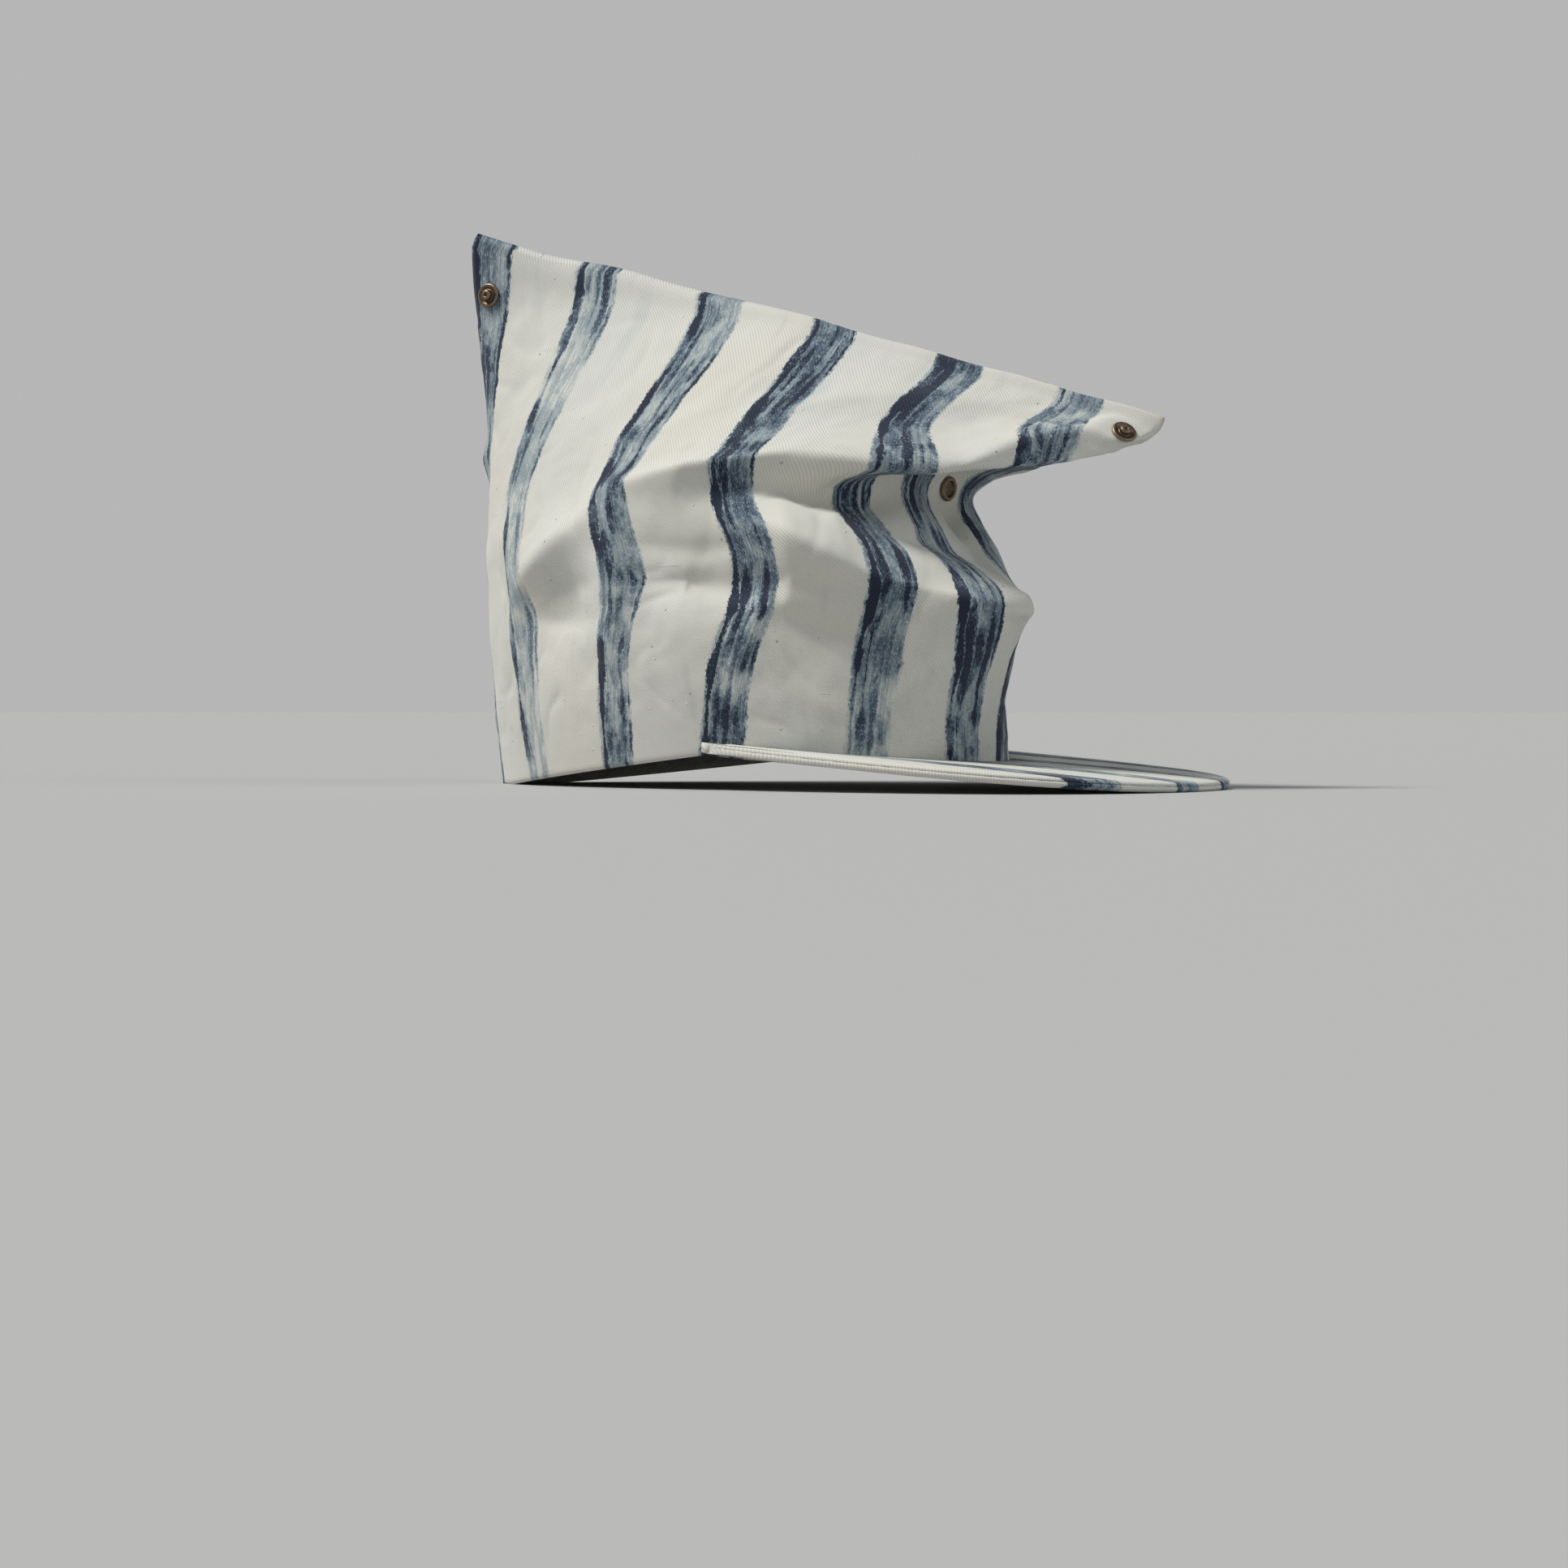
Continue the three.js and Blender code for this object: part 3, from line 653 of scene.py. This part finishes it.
def denim(name, settings, printed):
    """Undyed cotton twill, brushed with indigo stripes where it is printed."""
    finish = Finish(name, {"Sheen Weight": 0.10, "Sheen Roughness": 0.5, "Specular IOR Level": 0.25})
    u, v = finish.uv("cloth")
    w, height = u * ROUND, v * ROUND
    keep = 1.0 - finish.attribute("slack").ramp(0.25, 0.6)
    relief = (twill(finish, w, height, settings.rib_pitch / MM) - TWILL_MEAN) * keep + TWILL_MEAN
    slubs = finish.noise(finish.vector(w * 0.05, height * 0.22, 1.0), 3.0, 0.6).ramp(0.62, 0.78)
    neps = finish.specks(finish.vector(w * 0.11, height * 0.11)).ramp(0.075, 0.03)
    specks = finish.specks(finish.vector(w * 0.085, height * 0.085, 7.0)).ramp(0.055, 0.035)
    cloud = finish.noise(finish.vector(w * 0.016, height * 0.009), 3.0, 0.55)
    smear = finish.noise(finish.vector(w * 0.07, height * 0.012, 4.0), 3.0, 0.6).ramp(0.56, 0.76)
    ground = finish.mix(cloud.ramp(0.3, 0.7), settings.ground, settings.ground_warm)
    if printed:
        ground = finish.mix(smear * 0.24, ground, settings.indigo_pale)
    ground = finish.mix(specks * 0.55, ground, SPECK_COLOR)
    color = ground
    if printed:
        place, along = finish.uv("stripes")
        fleck = finish.noise(finish.vector(w * 1.5, height * 0.7, 2.0), 2.0, 0.8)
        thread = fleck.ramp(0.63, 0.52) * 0.80 + relief * 0.25
        paint = stripe_paint(finish, place * STRIPE_MAP_SPAN, along * ROUND, thread)
        ramp = finish.node("ShaderNodeValToRGB", {"stops": (
            (0.0, tuple(settings.indigo_pale)), (0.20, tuple(settings.indigo_pale)),
            (0.42, tuple(settings.indigo)), (0.66, tuple(settings.indigo_dark)))}, {0: paint})
        color = finish.mix(paint.ramp(0.0, 0.22), ground, ramp.outputs[0])
        # Where the mesh marks a seam (the brim's edge seam), the colour turns indigo in broken patches. This
        # is partly the blue thread of the stitched seam and partly painted shade of the seam's groove.
        seam_thread_and_shade = finish.noise(finish.vector(w * 0.3, height * 0.3)).ramp(0.4, 0.6)
        color = finish.mix(finish.attribute("seam") * seam_thread_and_shade * 0.75, color, settings.indigo)
    color = finish.mix(neps * 0.55, color, NEP_COLOR)
    shadow = (1.0 - relief).math("POWER", 1.0 - relief, 2.0) * 0.26
    color = finish.mix(shadow, color, SHADOW_COLOR)
    finish.feed("Base Color", color)
    finish.feed("Roughness", 0.98 - relief * 0.12)
    fuzz = finish.noise(finish.vector(w * 2.2, height * 2.2), 2.0, 0.7)
    finish.bump(relief * 0.55 + slubs * 0.5 + neps * 1.2 + fuzz * keep * 0.35, DENIM_RELIEF)
    return finish.material


def metal(name, color):
    """Dark antique brass, rubbed bright on its high edges."""
    finish = Finish(name, {"Metallic": 1.0})
    place = finish.node("ShaderNodeTexCoord").outputs["Object"]
    grime = finish.noise(place, 4.0, 0.65, scale=900.0)
    wear = finish.shade(finish.node("ShaderNodeNewGeometry").outputs["Pointiness"]).ramp(0.5, 0.6)
    bright = tuple(min(1.0, channel * 2.6) for channel in color)
    tone = finish.mix(grime.ramp(0.35, 0.7), tuple(channel * 0.45 for channel in color), tuple(color))
    finish.feed("Base Color", finish.mix(wear * 0.8, tone, bright))
    finish.feed("Roughness", 0.30 + grime * 0.28)
    finish.bump(grime, METAL_RELIEF)
    return finish.material


def new_piece(name, bm, materials, replaced):
    """A bmesh as a finished piece that rides on the root and replaces its CAD nodes."""
    mesh = bpy.data.meshes.new(name)
    bm.to_mesh(mesh)
    bm.free()
    piece = bpy.data.objects.new(name, mesh)
    bpy.context.scene.collection.objects.link(piece)
    for material in materials:
        mesh.materials.append(material)
    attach(piece, "root")
    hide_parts(*replaced)
    return piece


def put_on_grid(bm, columns, rows, place):
    """Adds a grid whose vertices go where place says. Returns its vertices and their coordinates."""
    made = bmesh.ops.create_grid(bm, x_segments=columns, y_segments=rows, size=0.5)
    verts = made["verts"]
    share = np.array([vert.co[:2] for vert in verts]) + 0.5
    points, w, height = place(share[:, 0], share[:, 1])
    for vert, point in zip(verts, points):
        vert.co = point
    return verts, w, height


def map_loops(bm, verts, w, height, stripes):
    """Writes the cloth and stripe maps on the faces of these vertices."""
    cloth = bm.loops.layers.uv["cloth"]
    stripe = bm.loops.layers.uv["stripes"]
    at = {vert: (a / ROUND, b / ROUND, s / STRIPE_MAP_SPAN)
          for vert, a, b, s in zip(verts, w, height, stripes)}
    for face in {face for vert in verts for face in vert.link_faces}:
        for loop in face.loops:
            a, b, s = at[loop.vert]
            loop[cloth].uv = (a, b)
            loop[stripe].uv = (s, b)


def crown_faces(settings):
    """The crown's cloth: an outer and an inner face, joined along the hem."""
    bm = bmesh.new()
    bm.loops.layers.uv.new("cloth")
    bm.loops.layers.uv.new("stripes")
    slack = bm.verts.layers.float.new("slack")
    wall = settings.wall / MM
    columns, rows = settings.columns, settings.rows

    def outside(around, up):
        w = around * ROUND
        height = up * TUBE_HEIGHT
        rise = crumple(w, height) - HEM_ROLL * (1 - smoothstep(height, 0, HEM_ROLL_HEIGHT))
        points = cloth_point(w, height) + surface_normal(cloth_point, w, height) * rise[:, None]
        points[:, 2] += ridge_wave(points[:, 0]) * smoothstep(height, RIDGE_FROM, TUBE_HEIGHT)
        return settle(points), w, height

    def inside(around, up):
        height = np.round(up * (TUBE_HEIGHT - INNER_TOP_GAP), 6)
        w = np.zeros_like(around)
        half = around * (columns + 2)
        for level in np.unique(height):
            row = height == level
            start, end = open_stretch(level, 2 * wall + INNER_CLEARANCE)
            step = half[row]
            right = step <= columns / 2 + 0.01
            along = np.where(right, step, columns + 1 - step) / (columns / 2)
            place = start + (end - start) * along
            place = np.where(right, place, ROUND - place)
            w[row] = np.where(step > columns + 1.5, ROUND + start, place)
        roll = HEM_ROLL * (1 - smoothstep(height, 0, HEM_ROLL_HEIGHT)) - wall
        points = cloth_point(w, height) + surface_normal(cloth_point, w, height) * roll[:, None]
        return settle(points), w, height

    outer, w, height = put_on_grid(bm, columns, rows, outside)
    map_loops(bm, outer, w, height, stripe_place(w, height))
    above, below = np.minimum(height + SLACK_STEP, TUBE_HEIGHT), np.maximum(height - SLACK_STEP, 0)
    length = np.linalg.norm(cloth_point(w, above) - cloth_point(w, below), axis=1)
    for vert, share in zip(outer, np.clip(1 - length / (above - below), 0, 1)):
        vert[slack] = share
    hem_outer = [v for v, h in zip(outer, height) if h < SAME_HEIGHT]
    lining, w_in, height_in = put_on_grid(bm, columns + 2, rows // 2, inside)
    map_loops(bm, lining, w_in, height_in, stripe_place(np.minimum(w_in, ROUND), height_in))
    for face in {face for vert in lining for face in vert.link_faces}:
        face.material_index = 1
    top = height_in.max() - SAME_HEIGHT
    first = {v for v, a, h in zip(lining, w_in, height_in) if h > top and a <= HALF_ROUND}
    second = {v for v, a, h in zip(lining, w_in, height_in) if h > top and a > HALF_ROUND and a < ROUND}
    hem_inner = [v for v, h in zip(lining, height_in) if h < SAME_HEIGHT]
    roof = [e for e in bm.edges if set(e.verts) <= first or set(e.verts) <= second]
    bmesh.ops.remove_doubles(bm, verts=[v for v in bm.verts if v.is_boundary], dist=WELD)
    roof = [e for e in roof if e.is_valid]
    made = bmesh.ops.bridge_loops(bm, edges=roof)["faces"]
    hems = {v for v in hem_outer + hem_inner if v.is_valid}
    rims = [e for e in bm.edges if e.is_boundary and e.verts[0] in hems and e.verts[1] in hems]
    made += bmesh.ops.bridge_loops(bm, edges=rims)["faces"]
    made += bmesh.ops.holes_fill(bm, edges=[e for e in bm.edges if e.is_boundary], sides=0)["faces"]
    for face in made:
        face.material_index = 1
    bmesh.ops.recalc_face_normals(bm, faces=bm.faces)
    for face in bm.faces:
        face.smooth = True
    return bm


def brim_edge(share):
    """The brim's outer edge, from the right temple at 0 to the centre front at 1."""
    back = np.clip(1 - share / BRIM_SIDE_SHARE, 0, 1)
    side = np.stack([BRIM_WIDEST_X - (BRIM_WIDEST_X - TEMPLE_X) * back,
                     BRIM_HALF_WIDTH - (BRIM_HALF_WIDTH - BRIM_TEMPLE_Y) * back**BRIM_SIDE_FULLNESS], axis=1)
    angle = (np.pi / 2) * np.clip((1 - share) / (1 - BRIM_SIDE_SHARE), 0, 1)
    power = 2 / BRIM_FRONT_FULLNESS
    front = np.stack([
        BRIM_WIDEST_X + (BRIM_FRONT_X - BRIM_WIDEST_X) * np.clip(np.cos(angle), 0, 1) ** power,
        BRIM_HALF_WIDTH * np.clip(np.sin(angle), 0, 1) ** power], axis=1)
    return np.where((share < BRIM_SIDE_SHARE)[:, None], side, front)


# The brim's section: share of its width, reach past that in millimetres, and lift from its underside
# as a share of its thickness. The two covers meet in a seam on the rolled edge.
BRIM_SECTION = (
    (0.0, 0.0, 0.12), (0.0, 0.1, 0.0), (0.15, 0, 0.0), (0.35, 0, 0.0), (0.55, 0, 0.0), (0.75, 0, 0.0),
    (0.92, 0, 0.0), (1, -2.6, 0.0), (1, -1.5, 0.05), (1, -0.7, 0.16), (1, -0.2, 0.32), (1, -0.1, 0.46),
    (1, -0.35, 0.58), (1, -0.8, 0.63), (1, -0.5, 0.69), (1, -0.6, 0.82), (1, -1.2, 0.94), (1, -2.2, 1.0),
    (0.92, 0, 1.0), (0.75, 0, 1.0), (0.55, 0, 1.0), (0.35, 0, 1.0), (0.15, 0, 1.0), (0.0, 0.1, 1.0),
    (0.0, 0.0, 0.88), (0.0, 0.0, 0.5),
)
BRIM_SEAM_POINT = 13
# The height up the crown where the brim's inner edge follows it, the width at which its section is whole,
# the width at which its top cover starts to dome and by how much, where its cloth map starts, and where the
# stripes fall on it.
BRIM_RING = 5
BRIM_FULL_WIDTH = 6
BRIM_DOME_WIDTH = 12
BRIM_DOME = 0.5
BRIM_MAP_ACROSS = 300
BRIM_MAP_ALONG = 250
BRIM_STRIPE_PHASE = 7.5


def brim_faces(settings):
    """The brim's board and covers: one closed section carried from temple to temple."""
    bm = bmesh.new()
    bm.loops.layers.uv.new("cloth")
    bm.loops.layers.uv.new("stripes")
    seam = bm.verts.layers.float.new("seam")
    thickness = settings.thickness / MM
    section = np.array(BRIM_SECTION + BRIM_SECTION[:1])

    def place(around, up):
        step = np.round(up * (len(section) - 1)).astype(int)
        along = 1 - abs(around * 2 - 1)
        sign = np.where(around <= 0.5, -1, 1)
        w = TEMPLE_W + (HALF_ROUND - TEMPLE_W) * along
        w = np.where(around <= 0.5, w, ROUND - w)
        level = np.full_like(w, BRIM_RING)
        normal = surface_normal(tube_point, w, level) * (1, 1, 0)
        normal /= np.linalg.norm(normal, axis=1, keepdims=True)
        inner = tube_point(w, level)
        lean = ((tube_point(w, level * 0) - inner) * normal).sum(axis=1)
        inner = inner + normal * (BRIM_GAP + np.maximum(lean, 0))[:, None]
        edge = brim_edge(along) * np.stack([np.ones_like(sign), sign], axis=1)
        outward = edge - inner[:, :2]
        width = np.linalg.norm(outward, axis=1, keepdims=True)
        outward = outward / width
        share, past, lift = section[step].T
        reach = share * width[:, 0] + past * np.minimum(width[:, 0] / BRIM_FULL_WIDTH, 1)
        spot = inner[:, :2] + outward * reach[:, None]
        dome = BRIM_DOME * np.sin(np.pi * np.clip(share, 0, 1)) * (lift > 0.5)
        z = brim_height(spot[:, 0]) + lift * thickness + dome * (width[:, 0] > BRIM_DOME_WIDTH)
        points = np.stack([spot[:, 0], spot[:, 1], z], axis=1)
        cover_edge = np.where(step > BRIM_SEAM_POINT, 1 - lift, lift) * thickness
        spread = spot + outward * cover_edge[:, None]
        return settle(points), spread[:, 1] + BRIM_MAP_ACROSS, spread[:, 0] + BRIM_MAP_ALONG

    columns = settings.columns
    verts, across, along = put_on_grid(bm, columns, len(section) - 1, place)
    stripes = (across - BRIM_MAP_ACROSS) / BRIM_STRIPE_PITCH + BRIM_STRIPE_PHASE
    map_loops(bm, verts, across, along, stripes)
    bm.verts.ensure_lookup_table()
    per_row = columns + 1
    for i, vert in enumerate(verts):
        vert[seam] = 1.0 if i // per_row == BRIM_SEAM_POINT else 0.0
    bmesh.ops.remove_doubles(bm, verts=verts, dist=WELD)
    bmesh.ops.holes_fill(bm, edges=[e for e in bm.edges if e.is_boundary], sides=0)
    bmesh.ops.recalc_face_normals(bm, faces=bm.faces)
    for face in bm.faces:
        face.smooth = True
    return bm


# Turned profiles of the snap parts: radius and height above the cloth, in millimetres.
SNAP_PROFILES = {
    "stud": ((0, 0), (4.7, 0), (4.95, 0.15), (5, 0.45), (4.9, 0.85), (4.55, 1.15), (4.1, 1.2), (3.6, 1.05),
             (3.2, 0.8), (2.9, 0.7), (2.6, 0.75), (2.3, 0.95), (2.1, 1.3), (2.15, 1.9), (2.1, 2.3),
             (1.8, 2.6), (1.3, 2.75), (0.9, 2.7), (0.7, 2.45), (0.6, 2.0), (0, 1.9)),
    "socket": ((0, 0), (4.7, 0), (4.95, 0.15), (5, 0.5), (4.9, 1.0), (4.6, 1.4), (4.15, 1.6), (3.7, 1.6),
               (3.35, 1.45), (3.1, 1.15), (2.95, 0.8), (2.8, 0.6), (2.4, 0.5), (1.0, 0.45), (0, 0.45)),
}


def snap_faces(shape, point, normal, segments):
    """A turned snap part whose base sits at point, facing along normal."""
    bm = bmesh.new()
    verts = [bm.verts.new((radius * MM, 0, height * MM)) for radius, height in SNAP_PROFILES[shape]]
    edges = [bm.edges.new(pair) for pair in zip(verts, verts[1:])]
    bmesh.ops.spin(bm, geom=verts + edges, cent=(0, 0, 0), axis=(0, 0, 1), angle=2 * math.pi,
                   steps=segments, use_merge=True, use_duplicate=False)
    bmesh.ops.remove_doubles(bm, verts=bm.verts, dist=SNAP_WELD)
    bmesh.ops.recalc_face_normals(bm, faces=bm.faces)
    turn = Vector((0, 0, 1)).rotation_difference(normal).to_matrix().to_4x4()
    bmesh.ops.transform(bm, matrix=Matrix.Translation(point) @ turn, verts=bm.verts)
    for face in bm.faces:
        face.smooth = True
    return bm


class CapClothSettings(bpy.types.PropertyGroup):
    """Sizes and colours of the cloth"""

    wall: FloatProperty(name="Cloth thickness", description="Thickness of the crown's cloth",
                        default=0.0016, unit="LENGTH")
    rib_pitch: FloatProperty(name="Rib pitch", description="Distance between the twill's ribs",
                             default=0.00095, unit="LENGTH")
    columns: IntProperty(name="Columns", description="Faces round the crown", default=380, min=60)
    rows: IntProperty(name="Rows", description="Faces up the crown", default=140, min=20)
    ground: FloatVectorProperty(name="Ground", description="Undyed cotton", subtype="COLOR",
                                default=(0.665, 0.67, 0.63))
    ground_warm: FloatVectorProperty(name="Warm ground", description="Yellowed patches of the cotton",
                                     subtype="COLOR", default=(0.70, 0.68, 0.605))
    indigo_pale: FloatVectorProperty(name="Pale indigo", description="Thin wash of indigo",
                                     subtype="COLOR", default=(0.315, 0.375, 0.40))
    indigo: FloatVectorProperty(name="Indigo", description="Brushed indigo", subtype="COLOR",
                                default=(0.078, 0.122, 0.172))
    indigo_dark: FloatVectorProperty(name="Dark indigo", description="The darkest lines",
                                     subtype="COLOR", default=(0.010, 0.016, 0.040))


class CapBrimSettings(bpy.types.PropertyGroup):
    """Sizes of the brim"""

    thickness: FloatProperty(name="Thickness", description="Board and covers together",
                             default=0.004, unit="LENGTH")
    columns: IntProperty(name="Columns", description="Faces along the brim's edge", default=240, min=40)


class CapSnapSettings(bpy.types.PropertyGroup):
    """Finish of the snap parts"""

    segments: IntProperty(name="Segments", description="Faces round a snap part", default=56, min=12)
    metal: FloatVectorProperty(name="Metal", description="Darkened brass", subtype="COLOR",
                               default=(0.17, 0.125, 0.09))


class CapStageSettings(bpy.types.PropertyGroup):
    """Camera, floor and lights"""

    azimuth: FloatProperty(name="Azimuth", description="The camera's turn round the cap",
                           default=math.radians(27), subtype="ANGLE")
    camera_height: FloatProperty(name="Camera height", description="Height of the camera above the floor",
                                 default=0.030, unit="LENGTH")
    distance: FloatProperty(name="Distance", description="From the camera to the middle of the rim",
                            default=1.3, unit="LENGTH")
    pixels_per_metre: FloatProperty(name="Scale", description="Image pixels per metre at the rim",
                                    default=3060.0)
    middle_column: FloatProperty(name="Column", description="Image column of the middle of the rim",
                                 default=920.0)
    floor_row: FloatProperty(name="Row", description="Image row of the floor under it", default=968.0)
    floor: FloatVectorProperty(name="Floor", description="Colour of the floor and backdrop",
                               subtype="COLOR", default=(0.44, 0.44, 0.44))
    sky: FloatProperty(name="Ambient", description="Strength of the light from above", default=0.22)
    horizon: FloatProperty(name="Backdrop", description="Brightness of the backdrop", default=0.47)
    key: FloatProperty(name="Key light", description="Strength of the wide light above", default=3.1)
    side: FloatProperty(name="Side light", description="Strength of the cool light from the front",
                        default=0.45)


class CAP_OT_crown(bpy.types.Operator):
    """Builds the crown's folded cloth"""

    bl_idname = "cap.crown"
    bl_label = "Crown"

    def execute(self, context):
        settings = context.scene.cap_cloth
        outside = denim("striped denim", settings, printed=True)
        inside = denim("denim reverse", settings, printed=False)
        crown = new_piece("crown_cloth", crown_faces(settings), [outside, inside], ["crown"])
        return {"FINISHED"}


class CAP_OT_brim(bpy.types.Operator):
    """Builds the brim with its covers and edge seam"""

    bl_idname = "cap.brim"
    bl_label = "Brim"

    def execute(self, context):
        settings = context.scene.cap_brim
        cover = denim("brim denim", context.scene.cap_cloth, printed=True)
        new_piece("brim_covers", brim_faces(settings), [cover], ["brim"])
        return {"FINISHED"}


class CAP_OT_snaps(bpy.types.Operator):
    """Builds the four snap parts"""

    bl_idname = "cap.snaps"
    bl_label = "Snap parts"

    def execute(self, context):
        settings = context.scene.cap_snaps
        brass = metal("antique brass", settings.metal)

        def floor_point(w, height):
            return settle(cloth_point(w, height)) / MM

        for snap in SEATS:
            w, height = np.array([float(snap["w"])]), np.array([float(snap["height"])])
            normal = surface_normal(floor_point, w, height)[0]
            point = (floor_point(w, height)[0] + normal * SNAP_SEAT) * MM
            bm = snap_faces(snap["shape"], Vector(point), Vector(normal), settings.segments)
            new_piece(f"{snap['node']}_metal", bm, [brass], [snap["node"]])
        return {"FINISHED"}


class CAP_OT_stage(bpy.types.Operator):
    """Sets up the floor, the lights and the camera"""

    bl_idname = "cap.stage"
    bl_label = "Stage"

    def execute(self, context):
        settings = context.scene.cap_stage
        scene = context.scene
        azimuth = settings.azimuth
        back = Vector((math.sin(azimuth), -math.cos(azimuth), 0))
        rim = Vector((-ORIGIN_X * MM, 0, 0))

        camera = bpy.data.objects.new("camera", bpy.data.cameras.new("camera"))
        scene.collection.objects.link(camera)
        camera.location = rim + back * settings.distance + Vector((0, 0, settings.camera_height))
        camera.rotation_euler = (-back).to_track_quat("-Z", "Y").to_euler()
        camera.data.lens = (camera.data.sensor_width * settings.distance
                            / (IMAGE_PIXELS / settings.pixels_per_metre))
        camera.data.shift_x = (IMAGE_PIXELS / 2 - settings.middle_column) / IMAGE_PIXELS
        floor_drop = settings.camera_height * settings.pixels_per_metre
        camera.data.shift_y = (settings.floor_row - IMAGE_PIXELS / 2 - floor_drop) / IMAGE_PIXELS
        camera.data.clip_start, camera.data.clip_end = 0.05, 200
        scene.camera = camera

        bm = bmesh.new()
        bmesh.ops.create_grid(bm, x_segments=1, y_segments=1, size=60.0)
        mesh = bpy.data.meshes.new("floor")
        bm.to_mesh(mesh)
        bm.free()
        floor = bpy.data.objects.new("floor", mesh)
        scene.collection.objects.link(floor)
        plain = Finish("pale floor", {"Roughness": 0.9, "Specular IOR Level": 0.2})
        plain.shader.inputs["Base Color"].default_value = (*settings.floor, 1)
        mesh.materials.append(plain.material)

        world = bpy.data.worlds.new("studio")
        world.use_nodes = True
        nodes, links = world.node_tree.nodes, world.node_tree.links
        way = nodes.new("ShaderNodeTexCoord")
        split = nodes.new("ShaderNodeSeparateXYZ")
        fade = nodes.new("ShaderNodeMapRange")
        fade.interpolation_type = "SMOOTHSTEP"
        for name, value in (("From Min", 0.22), ("From Max", 0.4), ("To Min", settings.horizon),
                            ("To Max", settings.sky)):
            fade.inputs[name].default_value = value
        links.new(way.outputs["Generated"], split.inputs[0])
        links.new(split.outputs["Z"], fade.inputs["Value"])
        links.new(fade.outputs[0], nodes["Background"].inputs["Strength"])
        nodes["Background"].inputs["Color"].default_value = (1.0, 1.0, 1.0, 1)
        scene.world = world

        scene.view_settings.view_transform = "Standard"
        lights = (
            ("key", Vector((-0.45, -0.36, 0.82)), 16, settings.key, (1.0, 0.99, 0.965)),
            ("side", Vector((0.85, 0.05, 0.5)), 30, settings.side, (0.80, 0.90, 1.0)),
        )
        for name, way, width, strength, color in lights:
            light = bpy.data.lights.new(name, "SUN")
            light.angle, light.energy, light.color = math.radians(width), strength, color
            lamp = bpy.data.objects.new(name, light)
            lamp.location = way
            lamp.rotation_euler = (-way).to_track_quat("-Z", "Y").to_euler()
            scene.collection.objects.link(lamp)
        return {"FINISHED"}


class CAP_PT_panel(bpy.types.Panel):
    """Lists the cap's settings and the steps that build it"""

    bl_label = "Denim Cap"
    bl_idname = "CAP_PT_panel"
    bl_space_type = "VIEW_3D"
    bl_region_type = "UI"
    bl_category = "Cap"

    def draw(self, context):
        for group in (context.scene.cap_cloth, context.scene.cap_brim, context.scene.cap_snaps,
                      context.scene.cap_stage):
            box = self.layout.box()
            for name in group.bl_rna.properties.keys():
                if name not in {"rna_type", "name"}:
                    box.prop(group, name)
        for operator in OPERATORS:
            self.layout.operator(operator.bl_idname)


GROUPS = {"cap_cloth": CapClothSettings, "cap_brim": CapBrimSettings, "cap_snaps": CapSnapSettings,
          "cap_stage": CapStageSettings}
OPERATORS = (CAP_OT_crown, CAP_OT_brim, CAP_OT_snaps, CAP_OT_stage)


def register():
    """Registers the classes and hangs the settings on the scene."""
    for cls in (*GROUPS.values(), *OPERATORS, CAP_PT_panel):
        bpy.utils.register_class(cls)
    for name, group in GROUPS.items():
        setattr(bpy.types.Scene, name, PointerProperty(type=group))


def unregister():
    """Undoes register."""
    for name in GROUPS:
        delattr(bpy.types.Scene, name)
    for cls in reversed((*GROUPS.values(), *OPERATORS, CAP_PT_panel)):
        bpy.utils.unregister_class(cls)


def build():
    """Builds every piece and the stage."""
    register()
    bpy.ops.cap.crown()
    bpy.ops.cap.brim()
    bpy.ops.cap.snaps()
    bpy.ops.cap.stage()


if __name__ == "__main__":
    build()
